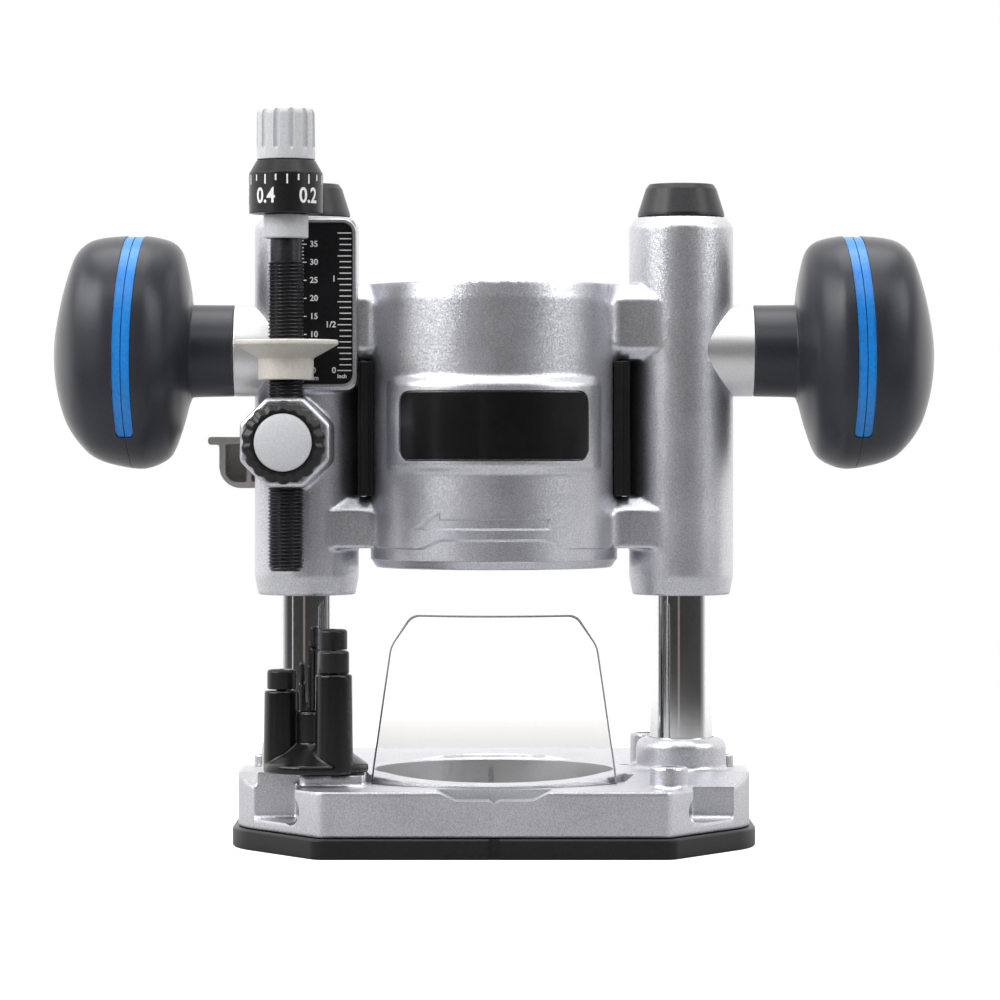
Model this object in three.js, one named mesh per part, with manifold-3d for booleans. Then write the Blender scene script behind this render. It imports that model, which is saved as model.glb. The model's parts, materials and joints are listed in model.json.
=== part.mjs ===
// Plunge base of a compact router, in millimetres, +Z up.
// The origin is the cutter axis at the underside of the sub-base. The maker's plate faces -Y.

import * as THREE from 'three';
import { mergeVertices } from 'three/addons/utils/BufferGeometryUtils.js';
import Module from 'manifold-3d';

const wasm = await Module();
wasm.setup();

// ---------------------------------------------------------------- driving dimensions

const FIT = 0.3; // clearance round a piece that sits in another
const SEAT = 0.1; // gap under a piece that rests on another

const SUB_BASE_FRONT_Y = 53; // half depth of the sub-base
const SUB_BASE_FRONT_X = 48.2; // half width of its straight front edge
const SUB_BASE_SIDE_X = 72.8; // half width of the sub-base
const SUB_BASE_SIDE_Y = 17; // where the slanted front corner meets the side
const SUB_BASE_TOP = 5.6;
const FLANGE_TOP = 8.8; // thin flange all round the base casting
const BLOCK_TOP = 18.3; // top of the front and back blocks of the casting
const DECK_TOP = 20.8; // deck round the cutter opening
const LEDGE_TOP = 21.5; // ledge under the stop turret
const BOSS_TOP = 29.7; // top of the post bosses
const BLOCK_HALF_X = 54; // half width of the front and back blocks
const GUIDE_ROD_R = 4; // bores for an edge guide's two rods, along X
const GUIDE_ROD_Y = 39.5; // one bore in front of the axis, one behind it
const GUIDE_ROD_Z = 12.2;
const GUIDE_BOSS_X = 47.5; // bosses whose screws clamp the guide rods
const POST_SCREW_X = 65.2; // screws that clamp the posts in their bosses
const POST_SCREW_Y = 8.6;
const REAR_BOSS = [43.7, 17]; // a tall boss with a bore, behind the right post

const COLUMN_X = 52.5; // the guide posts stand at +X and -X
const COLUMN_R = 14.6;
const COLUMN_BOTTOM = 69.6;
const COLUMN_TOP = 175.3;
const COLUMN_BORE_R = 10.8;
const POST_R = 8.75;
const POST_TOP = 132;
const POST_BORE_R = 7;
const SPRING_FLOOR = 60; // the spring stands here inside the hollow post
const SPRING_ROOF = 165; // underside of the plug that the spring pushes up

const RING_R = 35.2;
const SKIRT_R = 34.6; // the ring is slimmer below the webs
const MOTOR_BORE_R = 31.75;
const RING_BOTTOM = 77.3;
const RING_TOP = 156.3;
const WEB_BOTTOM = 82.8;
const BULGE_R = 36.6; // raised band that carries the plate
const WEB_FRONT_Y = -12.8;

const ARM_Z = 137.9; // the handles' arms stand out at this height
const ARM_R = 12.8;
const ARM_END_X = 72.6;

const ROD_X = -57.1; // depth rod, in front of the left column
const ROD_Y = -26.6;
const ROD_R = 4.9;
const ROD_BOTTOM = 76.9;
const PAD_FRONT_Y = -15.2; // flat pad on the left column that carries the scale
const LOCK_Z = 112.2; // height of the rod's lock knob
const LOCK_BOSS_FRONT_Y = -35;

const STOP_RING_R = 9.4; // the three stops stand on this radius round the turret's axis
const TURRET_X = -48.8; // the low stop stands under the depth rod
const TURRET_Y = ROD_Y;
const TURRET_BOTTOM = 21.9;

const CLAMP_Y = 41; // motor clamp bolt, behind the ring
const CLAMP_Z = 121;
const CLAMP_PIN_X = 20.5;
const LEVER_Z = 112; // plunge lock lever, behind the left column

const SHIELD_INNER_R = 39.5;
const SHIELD_OUTER_R = 41.3;
const SHIELD_BOTTOM = 18.5;
const SHIELD_TOP = 65.2;

const RING_SIDES = 40; // facets round the motor ring
const COLUMN_SIDES = 24; // facets round a column

// ---------------------------------------------------------------- finishes

const finish = (color, roughness, metalness, extra = {}) =>
  new THREE.MeshStandardMaterial({ color, roughness, metalness, ...extra });

const CAST_ALUMINIUM = finish(0xb9bcbf, 0.5, 0.85);
const CHROME = finish(0xd8dadd, 0.08, 1);
const ZINC_STEEL = finish(0xa9adb0, 0.35, 0.9);
const BLACK_STEEL = finish(0x17181a, 0.4, 0.6);
const SPRING_STEEL = finish(0x6d7073, 0.35, 0.9);
const BRONZE = finish(0xa67c45, 0.45, 0.8);
const BLACK_PLASTIC = finish(0x141416, 0.35, 0);
const GREY_PLASTIC = finish(0xb9bbbd, 0.5, 0);
const CREAM_PLASTIC = finish(0xd9d4c7, 0.5, 0);
const BLUE_PLASTIC = finish(0x1f6fd0, 0.4, 0);
const GRIP_RUBBER = finish(0x2b2e33, 0.6, 0);
const CAP_RUBBER = finish(0x1c1d20, 0.7, 0);
const CLEAR_PLASTIC = finish(0xf2f6f8, 0.05, 0, { transparent: true, opacity: 0.3 });

// ---------------------------------------------------------------- joining and cutting

// A closed geometry as a boolean solid, turned right side out if its faces point inwards.
function toSolid(geometry) {
  let welded = geometry;
  if (!geometry.userData.welded) {
    const bare = geometry.clone();
    bare.deleteAttribute('normal');
    bare.deleteAttribute('uv');
    welded = mergeVertices(bare, 1e-4);
  }
  const corners = welded.index.array;
  const triangles = [];
  for (let i = 0; i < corners.length; i += 3) {
    const [a, b, c] = [corners[i], corners[i + 1], corners[i + 2]];
    if (a !== b && b !== c && c !== a) triangles.push(a, b, c);
  }
  const build = (indices) => {
    const mesh = new wasm.Mesh({
      numProp: 3,
      vertProperties: Float32Array.from(welded.attributes.position.array),
      triVerts: Uint32Array.from(indices),
    });
    return new wasm.Manifold(mesh);
  };
  const solid = build(triangles);
  return solid.volume() < 0 ? build(triangles.reverse()) : solid;
}

function toGeometry(solid) {
  const { vertProperties, triVerts } = solid.getMesh();
  const geometry = new THREE.BufferGeometry();
  geometry.setAttribute('position', new THREE.BufferAttribute(vertProperties, 3));
  geometry.setIndex(new THREE.BufferAttribute(triVerts, 1));
  geometry.computeVertexNormals();
  geometry.userData.welded = true;
  return geometry;
}

function join(...parts) {
  return toGeometry(parts.map(toSolid).reduce((sum, part) => sum.add(part)));
}

function cut(body, ...tools) {
  return toGeometry(tools.map(toSolid).reduce((rest, tool) => rest.subtract(tool), toSolid(body)));
}

function overlap(a, b) {
  return toGeometry(toSolid(a).intersect(toSolid(b)));
}

// ---------------------------------------------------------------- shapes

// A solid of revolution about +Z, from [radius, height] pairs that start and end on the axis.
function turned(profile, sides) {
  const lathe = new THREE.LatheGeometry(profile.map(([r, z]) => new THREE.Vector2(r, z)), sides);
  lathe.rotateX(Math.PI / 2);
  return lathe;
}

function rod(radius, z0, z1, sides = 16) {
  return turned([[0, z0], [radius, z0], [radius, z1], [0, z1]], sides);
}

function tube(innerR, outerR, z0, z1, sides = 20) {
  return turned([[innerR, z0], [outerR, z0], [outerR, z1], [innerR, z1], [innerR, z0]], sides);
}

function rodX(radius, x0, x1, sides = 12) {
  return alongX(rod(radius, x0, x1, sides));
}

function rodY(radius, y0, y1, sides = 12) {
  return alongY(rod(radius, y0, y1, sides));
}

function outlineOf(pairs) {
  return pairs.map(([u, v]) => new THREE.Vector2(u, v));
}

// Points of an outline whose corners are [x, y, radius]; a radius turns a corner into an arc.
function rounded(corners, chords = 3) {
  const at = (i) => new THREE.Vector2(...corners[(i + corners.length) % corners.length]);
  return corners.flatMap(([x, y, radius = 0], i) => {
    const corner = new THREE.Vector2(x, y);
    if (radius === 0) return [corner];
    const back = at(i - 1).sub(corner).normalize();
    const ahead = at(i + 1).sub(corner).normalize();
    const halfAngle = Math.acos(back.dot(ahead)) / 2;
    const middle = back.clone().add(ahead).normalize();
    const centre = corner.clone().addScaledVector(middle, radius / Math.sin(halfAngle));
    const reach = radius / Math.tan(halfAngle);
    const from = corner.clone().addScaledVector(back, reach).sub(centre).angle();
    const to = corner.clone().addScaledVector(ahead, reach).sub(centre).angle();
    let sweep = to - from;
    if (sweep > Math.PI) sweep -= 2 * Math.PI;
    if (sweep < -Math.PI) sweep += 2 * Math.PI;
    return Array.from({ length: chords + 1 }, (_, k) => {
      const angle = from + (sweep * k) / chords;
      return new THREE.Vector2(centre.x + radius * Math.cos(angle), centre.y + radius * Math.sin(angle));
    });
  });
}

// An outline in the plane of the plate, made thick upwards from z0 to z1.
function slabZ(outline, z0, z1) {
  const settings = { depth: z1 - z0, bevelEnabled: false };
  const slab = new THREE.ExtrudeGeometry(new THREE.Shape(outline), settings);
  slab.translate(0, 0, z0);
  return slab;
}

// The same for an outline of (x, z) points, made thick from y0 to y1.
function slabY(outline, y0, y1) {
  const slab = slabZ(outline, -y1, -y0);
  slab.rotateX(Math.PI / 2);
  return slab;
}

// The same for an outline of (y, z) points, made thick from x0 to x1.
function slabX(outline, x0, x1) {
  const slab = slabZ(outline, x0, x1);
  const [x, y, z] = [new THREE.Vector3(1, 0, 0), new THREE.Vector3(0, 1, 0), new THREE.Vector3(0, 0, 1)];
  slab.applyMatrix4(new THREE.Matrix4().makeBasis(y, z, x));
  return slab;
}

function block(x0, x1, y0, y1, z0, z1) {
  const box = new THREE.BoxGeometry(x1 - x0, y1 - y0, z1 - z0);
  box.translate((x0 + x1) / 2, (y0 + y1) / 2, (z0 + z1) / 2);
  return box;
}

function moved(geometry, x, y, z) {
  geometry.translate(x, y, z);
  return geometry;
}

function alongX(geometry) {
  geometry.rotateY(Math.PI / 2);
  return geometry;
}

function alongY(geometry) {
  geometry.rotateX(-Math.PI / 2);
  return geometry;
}

// A radius that swings between crest and root, lobes times round, as an outline.
function lobed(crestR, rootR, lobes) {
  return Array.from({ length: 2 * lobes }, (_, i) => {
    const radius = i % 2 === 0 ? crestR : rootR;
    const angle = (Math.PI * i) / lobes;
    return new THREE.Vector2(radius * Math.cos(angle), radius * Math.sin(angle));
  });
}

function polygon(radius, sides, turn = 0) {
  return Array.from({ length: sides }, (_, i) => {
    const angle = turn + (2 * Math.PI * i) / sides;
    return new THREE.Vector2(radius * Math.cos(angle), radius * Math.sin(angle));
  });
}

// A coil spring about +Z, as one unbroken wire.
class Helix extends THREE.Curve {
  constructor(radius, z0, z1, turns) {
    super();
    Object.assign(this, { radius, z0, z1, turns });
  }

  getPoint(t, target = new THREE.Vector3()) {
    const angle = 2 * Math.PI * this.turns * t;
    const z = this.z0 + (this.z1 - this.z0) * t;
    return target.set(this.radius * Math.cos(angle), this.radius * Math.sin(angle), z);
  }
}

function coil(radius, wireR, z0, z1, turns) {
  const path = new Helix(radius, z0 + wireR, z1 - wireR, turns);
  const settings = { steps: turns * 8, bevelEnabled: false, extrudePath: path };
  return new THREE.ExtrudeGeometry(new THREE.Shape(polygon(wireR, 5)), settings);
}

// A closed skin over rings of points that all have the same count, with a flat lid at each end.
function loft(rings) {
  const count = rings[0].length;
  const centres = [rings[0], rings.at(-1)].map((ring) =>
    ring.reduce((sum, point) => sum.add(point), new THREE.Vector3()).divideScalar(count));
  const points = [...rings.flat(), ...centres];
  const faces = [];
  for (let ring = 0; ring + 1 < rings.length; ring += 1) {
    for (let i = 0; i < count; i += 1) {
      const [a, b] = [ring * count + i, ring * count + ((i + 1) % count)];
      faces.push(a, b, b + count, a, b + count, a + count);
    }
  }
  const last = (rings.length - 1) * count;
  for (let i = 0; i < count; i += 1) {
    const next = (i + 1) % count;
    faces.push(points.length - 2, next, i);
    faces.push(points.length - 1, last + i, last + next);
  }
  const geometry = new THREE.BufferGeometry().setFromPoints(points);
  geometry.setIndex(faces);
  return geometry;
}

// ---------------------------------------------------------------- scene helpers

function named(name, geometry, material, x = 0, y = 0, z = 0) {
  const mesh = new THREE.Mesh(toGeometry(toSolid(geometry)), material);
  mesh.name = name;
  mesh.position.set(x, y, z);
  return mesh;
}

function groupOf(...members) {
  const group = new THREE.Group();
  group.add(...members);
  return group;
}

const SIDES = [['left', -1], ['right', 1]];

// ---------------------------------------------------------------- sub-base and base casting

// The plate's outline, slanted at its front corners, drawn in on every side by the inset.
function footprint(inset) {
  const [frontRadius, sideRadius, backRadius] = [5, 30, 18].map((radius) => radius - inset);
  const run = SUB_BASE_SIDE_X - SUB_BASE_FRONT_X;
  const rise = SUB_BASE_FRONT_Y - SUB_BASE_SIDE_Y;
  const slant = Math.hypot(run, rise);
  const frontX = SUB_BASE_FRONT_X - (inset * (slant - run)) / rise;
  const frontY = SUB_BASE_FRONT_Y - inset;
  const sideX = SUB_BASE_SIDE_X - inset;
  const sideY = SUB_BASE_SIDE_Y - (inset * (slant - rise)) / run;
  return rounded([
    [-frontX, -frontY, frontRadius],
    [frontX, -frontY, frontRadius],
    [sideX, -sideY, sideRadius],
    [sideX, frontY, backRadius],
    [-sideX, frontY, backRadius],
    [-sideX, -sideY, sideRadius],
  ], 5);
}

const SUB_BASE_SCREWS = [
  ['front_left', -30, -47.3],
  ['front_right', 30, -47.3],
  ['back_left', -30, 47.3],
  ['back_right', 30, 47.3],
];

function subBasePlate() {
  const openingR = 25;
  const notchHalfWidth = 1.5;
  const notchDepth = 0.8;
  const [under, over] = [-1, SUB_BASE_TOP + 1];
  const plate = slabZ(footprint(0), 0, SUB_BASE_TOP);
  const opening = rod(openingR, under, over, RING_SIDES);
  const edge = -SUB_BASE_FRONT_Y;
  const notch = block(-notchHalfWidth, notchHalfWidth, edge - 1, edge + notchDepth, under, over);
  const countersink = [[0, -1], [4.2, -1], [4.2, 0.8], [2.3, 3.1], [2.3, 7], [0, 7]];
  const holes = SUB_BASE_SCREWS.map(([, x, y]) => moved(turned(countersink, 10), x, y, 0));
  return cut(plate, opening, notch, ...holes);
}

function subBaseScrews() {
  const profile = [[0, 0.6], [3.9, 0.6], [3.9, 0.9], [2, 2.9], [2, 15.5], [0, 15.5]];
  return SUB_BASE_SCREWS.map(([place, x, y]) =>
    named(`sub_base_screw_${place}`, turned(profile, 10), BLACK_STEEL, x, y));
}

// Outline of (y, z) points, the same in front of the axis and behind it.
function frontAndBack(half) {
  const mirrored = half.map(([y, z]) => [-y, z]).reverse();
  return outlineOf([...half, ...mirrored]);
}

// The casting rises behind the opening; the ridge's front wall stands back from the opening.
function rearRidge(bottom) {
  const profile = outlineOf([[20, bottom], [20, 20.5], [38, 22.6], [53, 23.1], [53, bottom]]);
  return cut(slabX(profile, -44, 44), rod(36, 0, 30, RING_SIDES));
}

function baseBody() {
  const bottom = SUB_BASE_TOP + SEAT;
  const foot = footprint(1.6);
  const flange = slabZ(foot, bottom, FLANGE_TOP);
  const edge = SUB_BASE_FRONT_Y;
  const blocks = overlap(
    slabZ(foot, bottom, BLOCK_TOP),
    join(
      block(-BLOCK_HALF_X, BLOCK_HALF_X, -edge, -24, bottom, BLOCK_TOP),
      block(-BLOCK_HALF_X, BLOCK_HALF_X, 24, edge, bottom, BLOCK_TOP),
    ),
  );
  const cheekProfile = frontAndBack([[-24, bottom], [-24, 17.6], [-13, DECK_TOP]]);
  const cheeks = overlap(slabZ(foot, bottom, DECK_TOP), slabX(cheekProfile, -SUB_BASE_SIDE_X, SUB_BASE_SIDE_X));
  const ridge = overlap(slabZ(foot, bottom, LEDGE_TOP + 3), rearRidge(bottom));
  const deckProfile = [[-40, bottom], [-40, 18.8], [-16, DECK_TOP], [40, DECK_TOP], [40, bottom]];
  const deckR = 39.2;
  const deck = overlap(
    rod(deckR, bottom, DECK_TOP, RING_SIDES),
    slabX(outlineOf(deckProfile), -40, 40),
  );
  const ledgePlan = rounded([
    [-65.4, -14], [-65.4, -24], [-53, -24], [-53, -37.5, 2], [-35.2, -36.5, 1], [-35.2, -14],
  ]);
  const ledge = slabZ(ledgePlan, bottom, LEDGE_TOP);
  return join(flange, blocks, cheeks, ridge, deck, ledge);
}

function baseBosses() {
  const postBoss = [[0, 8], [12.6, 8], [12.6, BOSS_TOP - 2.5], [10.2, BOSS_TOP], [0, BOSS_TOP]];
  return [
    moved(turned(postBoss, COLUMN_SIDES), -COLUMN_X, 0, 0),
    moved(turned(postBoss, COLUMN_SIDES), COLUMN_X, 0, 0),
    moved(rod(5.15, 8, 24.2), GUIDE_BOSS_X, -GUIDE_ROD_Y, 0),
    moved(rod(5.15, 8, 24.2), GUIDE_BOSS_X, GUIDE_ROD_Y, 0),
    moved(rod(5, 8, BOSS_TOP), ...REAR_BOSS, 0),
  ];
}

function baseHoles() {
  const openingR = 33.5;
  const turretSweepR = 15.4; // room for the stops as the turret turns
  const recessFloor = 15.7;
  const recess = [
    [-16.4, 19], [-15.7, BLOCK_TOP], [-10.4, recessFloor], [10.4, recessFloor], [15.7, BLOCK_TOP], [16.4, 19],
  ];
  const shieldSeat = tube(SHIELD_INNER_R - FIT, SHIELD_OUTER_R + FIT, BLOCK_TOP, 24, RING_SIDES);
  const guideHoles = [-GUIDE_ROD_Y, GUIDE_ROD_Y].flatMap((y) => [
    moved(rodX(GUIDE_ROD_R, -80, 80, 16), 0, y, GUIDE_ROD_Z),
    moved(rod(2.6, GUIDE_ROD_Z, 25, 12), GUIDE_BOSS_X, y, 0),
  ]);
  const posts = SIDES.map(([, side]) => moved(rod(POST_R + FIT, 5, 30, COLUMN_SIDES), side * COLUMN_X, 0, 0));
  const clampHoles = SIDES.map(([, side]) =>
    moved(rod(1.8, 11.5, 22, 10), side * POST_SCREW_X, POST_SCREW_Y, 0));
  const screwHoles = SUB_BASE_SCREWS.map(([, x, y]) => moved(rod(2.3, 5, 16, 10), x, y, 0));
  return [
    rod(openingR, 0, 30, RING_SIDES),
    slabY(outlineOf(recess), -60, -43),
    cut(shieldSeat, block(-50, 50, -15, 50, 0, 30)),
    moved(rod(3.3, 18, 31, 12), ...REAR_BOSS, 0),
    moved(rod(3.3, 10, 22, 12), TURRET_X, TURRET_Y, 0),
    moved(rod(2.3, 11, 22, 12), TURRET_X, TURRET_Y + STOP_RING_R, 0),
    moved(rod(turretSweepR, LEDGE_TOP, 30, COLUMN_SIDES), TURRET_X, TURRET_Y, 0),
    ...guideHoles,
    ...posts,
    ...clampHoles,
    ...screwHoles,
  ];
}

function baseCasting() {
  return cut(join(baseBody(), ...baseBosses()), ...baseHoles());
}

// ---------------------------------------------------------------- guide posts

function guidePost() {
  const grooveR = POST_R - 0.75;
  return turned([
    [0, 6], [POST_R, 6], [POST_R, 128], [grooveR, 128], [grooveR, 129.8], [POST_R, 129.8],
    [POST_R, POST_TOP - 0.8], [POST_R - 0.8, POST_TOP], [POST_BORE_R, POST_TOP],
    [POST_BORE_R, SPRING_FLOOR], [0, SPRING_FLOOR],
  ], 24);
}

function postClampScrew() {
  const headBottom = DECK_TOP + SEAT;
  return turned([
    [0, 12], [1.5, 12], [1.5, headBottom], [2.5, headBottom], [2.5, 23.5], [1.9, 24.1], [0, 24.1],
  ], 10);
}

function guidePosts() {
  return SIDES.flatMap(([side, sign]) => [
    named(`guide_post_${side}`, guidePost(), CHROME, sign * COLUMN_X),
    named(`post_stop_ring_${side}`, tube(8.2, 10.3, 128.15, 129.65), SPRING_STEEL, sign * COLUMN_X),
    named(`post_clamp_screw_${side}`, postClampScrew(), ZINC_STEEL, sign * POST_SCREW_X, POST_SCREW_Y),
  ]);
}

// ---------------------------------------------------------------- chip shield

function chipShield() {
  const sheet = tube(SHIELD_INNER_R, SHIELD_OUTER_R, SHIELD_BOTTOM, SHIELD_TOP, 64);
  const window = rounded([
    [-34, SHIELD_BOTTOM - 1], [34, SHIELD_BOTTOM - 1], [33.2, 24], [28.2, 56.5, 6],
    [22.5, SHIELD_TOP + 0.01, 3], [-22.5, SHIELD_TOP + 0.01, 3], [-28.2, 56.5, 6], [-33.2, 24],
  ]);
  return overlap(sheet, slabY(window, -50, -5));
}

// ---------------------------------------------------------------- stop turret

const STOPS = [
  { height: 'low', angle: 183, postR: 4.8, postTop: 44.2, capR: 4.05, capTop: 50 },
  { height: 'mid', angle: 303, postR: 5, postTop: 49, capR: 4.2, capTop: 55.5 },
  { height: 'high', angle: 63, postR: 4.4, postTop: 54.6, capR: 4, capTop: 60.6 },
];

function stopPlace({ angle }) {
  const radians = THREE.MathUtils.degToRad(angle);
  return [STOP_RING_R * Math.cos(radians), STOP_RING_R * Math.sin(radians)];
}

function stopTurret() {
  const floor = TURRET_BOTTOM;
  const footR = 14.3;
  const body = turned([[0, floor], [footR, floor], [footR, 24], [6.3, 29.7], [6.3, 38.4], [0, 38.4]], 24);
  const posts = STOPS.map((stop) => {
    const { postR, postTop } = stop;
    const post = turned([[0, floor], [postR + 0.3, floor], [postR, postTop], [0, postTop]], 16);
    return moved(post, ...stopPlace(stop), 0);
  });
  const bores = STOPS.map((stop) => {
    const bore = rod(1.9, stop.postTop - 12, stop.postTop + 1, 10);
    return moved(bore, ...stopPlace(stop), 0);
  });
  const pivotHole = turned([[0, 20], [3.3, 20], [3.3, 34.4], [4.6, 34.4], [4.6, 40], [0, 40]], 14);
  return cut(join(body, ...posts), pivotHole, ...bores);
}

function stopScrew({ capR, postTop, capTop }) {
  const capBottom = postTop + 0.4;
  const profile = [
    [0, postTop - 10], [1.55, postTop - 10], [1.55, capBottom], [capR, capBottom],
    [capR, capTop - 0.8], [capR - 0.8, capTop], [0, capTop],
  ];
  const slotHalf = 0.6;
  const slot = block(-capR - 1, capR + 1, -slotHalf, slotHalf, capTop - 1, capTop + 1);
  return cut(turned(profile, 14), slot);
}

function turretGroup() {
  const pivotScrew = turned([[0, 11], [3, 11], [3, 34.6], [4.3, 34.6], [4.3, 37.6], [0, 37.6]], 12);
  const ball = new THREE.SphereGeometry(2, 8, 6);
  const stopScrews = STOPS.map((stop) =>
    named(`stop_screw_${stop.height}`, stopScrew(stop), BLACK_STEEL, ...stopPlace(stop)));
  const group = groupOf(
    named('turret_pivot_screw', pivotScrew, ZINC_STEEL),
    named('turret_detent_ball', ball, CHROME, 0, STOP_RING_R, 19.7),
    named('turret_detent_spring', coil(1.5, 0.35, 11.2, 17.5, 3), SPRING_STEEL, 0, STOP_RING_R),
    named('stop_turret', stopTurret(), BLACK_PLASTIC),
    ...stopScrews,
  );
  group.position.set(TURRET_X, TURRET_Y, 0);
  return group;
}

// ---------------------------------------------------------------- motor housing

function motorRing() {
  const ring = turned([
    [MOTOR_BORE_R, RING_BOTTOM], [32.9, RING_BOTTOM], [SKIRT_R, 80], [SKIRT_R, WEB_BOTTOM],
    [RING_R, WEB_BOTTOM], [RING_R, 152], [RING_R - 0.4, RING_TOP],
    [MOTOR_BORE_R, RING_TOP], [MOTOR_BORE_R, RING_BOTTOM],
  ], RING_SIDES);
  const bulge = turned([
    [33, 101.5], [RING_R, 101.5], [BULGE_R, 104], [BULGE_R, 129.2], [RING_R, 131.8], [33, 131.8], [33, 101.5],
  ], RING_SIDES);
  return join(ring, overlap(bulge, block(-40, 40, -40, -14, 100, 133)));
}

function column() {
  return turned([
    [0, COLUMN_BOTTOM], [13.65, COLUMN_BOTTOM], [COLUMN_R, 74.9],
    [COLUMN_R, 172.4], [12.5, COLUMN_TOP], [0, COLUMN_TOP],
  ], COLUMN_SIDES);
}

// The two webs that tie a column to the ring leave a window between them.
function webs(sign) {
  const deep = WEB_FRONT_Y;
  const lower = frontAndBack([[deep, WEB_BOTTOM], [deep, 93.5], [deep + 3.5, 97]]);
  const upper = frontAndBack([[deep + 3, 135.1], [deep, 138.3], [deep, 152.8], [deep + 3.2, 156]]);
  const [x0, x1] = [31.9, 47].map((x) => x * sign).sort((a, b) => a - b);
  return [slabX(lower, x0, x1), slabX(upper, x0, x1)];
}

function arm(sign) {
  const stub = rodX(ARM_R, COLUMN_X, ARM_END_X, COLUMN_SIDES);
  if (sign < 0) stub.rotateZ(Math.PI);
  return moved(stub, 0, 0, ARM_Z);
}

function scalePad() {
  const face = rounded([[-60.6, 126.6, 3], [-38, 126.6, 3], [-38, 174.6, 3], [-60.6, 174.6, 3]]);
  return slabY(face, PAD_FRONT_Y, -4);
}

function rodBoss() {
  const acrossFlats = 24.6;
  const cornerR = acrossFlats / 2 / Math.cos(Math.PI / 8);
  const boss = slabY(polygon(cornerR, 8, Math.PI / 8), LOCK_BOSS_FRONT_Y, -4);
  return moved(boss, ROD_X, 0, LOCK_Z);
}

function clampEars() {
  const outline = rounded([[28, 107], [47, 107, 5], [47, 135, 5], [28, 135]]);
  return slabX(outline, -13, 13);
}

function leverBoss() {
  return moved(rodY(8, 4, 15.2, 20), -COLUMN_X, 0, LEVER_Z);
}

// A recess in the ring's front, as deep as the plate that fills it is thick.
function plateShell(outline, innerR, outerR, sides) {
  return overlap(tube(innerR, outerR, 100, 135, sides), slabY(outline, -45, -10));
}

function plateOutline(halfWidth, z0, z1, radius) {
  return rounded([
    [-halfWidth, z0, radius], [halfWidth, z0, radius], [halfWidth, z1, radius], [-halfWidth, z1, radius],
  ]);
}

// A sunk arrow below the plate shows which way the motor turns in.
function turnArrow() {
  const arrow = outlineOf([[-23.3, 88.6], [15.5, 88.6], [15.5, 91.1], [-14.7, 91.1], [-14.7, 93.2]]);
  return overlap(tube(RING_R - 0.6, RING_R + 1, 86, 95, RING_SIDES), slabY(arrow, -45, -20));
}

// In front, the skirt's upper edge steps up between two short ramps.
function skirtArch() {
  const arch = outlineOf([[-20, 82], [-14.7, 85], [13.9, 85], [20.6, 82]]);
  return overlap(tube(SKIRT_R, RING_R + 1, 82, 86, RING_SIDES), slabY(arch, -45, -20));
}

function housingHoles() {
  const slitHalfWidth = 1.5;
  const rear = 50;
  return [
    rod(MOTOR_BORE_R, 60, 170, RING_SIDES),
    ...SIDES.map(([, sign]) => moved(rod(COLUMN_BORE_R, 60, 180, 24), sign * COLUMN_X, 0, 0)),
    ...SIDES.map(([, sign]) => {
      const hole = rodX(4.3, COLUMN_X, ARM_END_X + 1);
      if (sign < 0) hole.rotateZ(Math.PI);
      return moved(hole, 0, 0, ARM_Z);
    }),
    block(-slitHalfWidth, slitHalfWidth, 20, rear, 60, 170),
    moved(rodX(3.2, -20, 20), 0, CLAMP_Y, CLAMP_Z),
    moved(rod(5.3, 95, 130), ROD_X, ROD_Y, 0),
    moved(rodY(2.8, LOCK_BOSS_FRONT_Y - 1, ROD_Y), ROD_X, 0, LOCK_Z),
    moved(rodY(5, 4, 16), -COLUMN_X, 0, LEVER_Z),
    plateShell(plateOutline(26.1, 107.2, 126.4, 2.8), BULGE_R - 0.9, BULGE_R + 2, RING_SIDES),
    turnArrow(),
    skirtArch(),
  ];
}

function motorHousing() {
  const solid = join(
    motorRing(),
    ...SIDES.flatMap(([, sign]) => [moved(column(), sign * COLUMN_X, 0, 0), ...webs(sign), arm(sign)]),
    scalePad(),
    rodBoss(),
    clampEars(),
    leverBoss(),
  );
  return cut(solid, ...housingHoles());
}

function namePlate() {
  return plateShell(plateOutline(25.6, 107.7, 125.9, 2.4), BULGE_R - 0.6, BULGE_R - 0.1, RING_SIDES);
}

function depthScale() {
  const front = PAD_FRONT_Y - SEAT;
  return slabY(rounded([[-57.5, 128.4, 2.9], [-39.2, 128.4, 2.9], [-39.2, 173.1, 2.9], [-57.5, 173.1, 2.9]]),
    front - 0.4, front);
}

// A black strip closes each window between the ring, the column and the webs.
function pocketInsert(sign, ribX) {
  const [x0, x1] = [31, 37.7].map((x) => x * sign).sort((a, b) => a - b);
  const strip = join(
    block(x0, x1, WEB_FRONT_Y + 1, 4, 97.2, 134.9),
    block(ribX - 1.1, ribX + 1.1, WEB_FRONT_Y, 0, 97.2, 134.9),
  );
  const nearRing = rod(RING_R + FIT, 90, 140, RING_SIDES);
  const nearColumn = moved(rod(COLUMN_R + FIT, 90, 140, COLUMN_SIDES), sign * COLUMN_X, 0, 0);
  return cut(strip, nearRing, nearColumn);
}

// ---------------------------------------------------------------- column internals

function columnCap() {
  return turned([
    [0, 171.3], [10.3, 171.3], [10.3, 175.4], [12.2, 175.4], [12.2, 176.2],
    [9.9, 183.4], [9, 184.6], [0, 184.7],
  ], 24);
}

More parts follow.
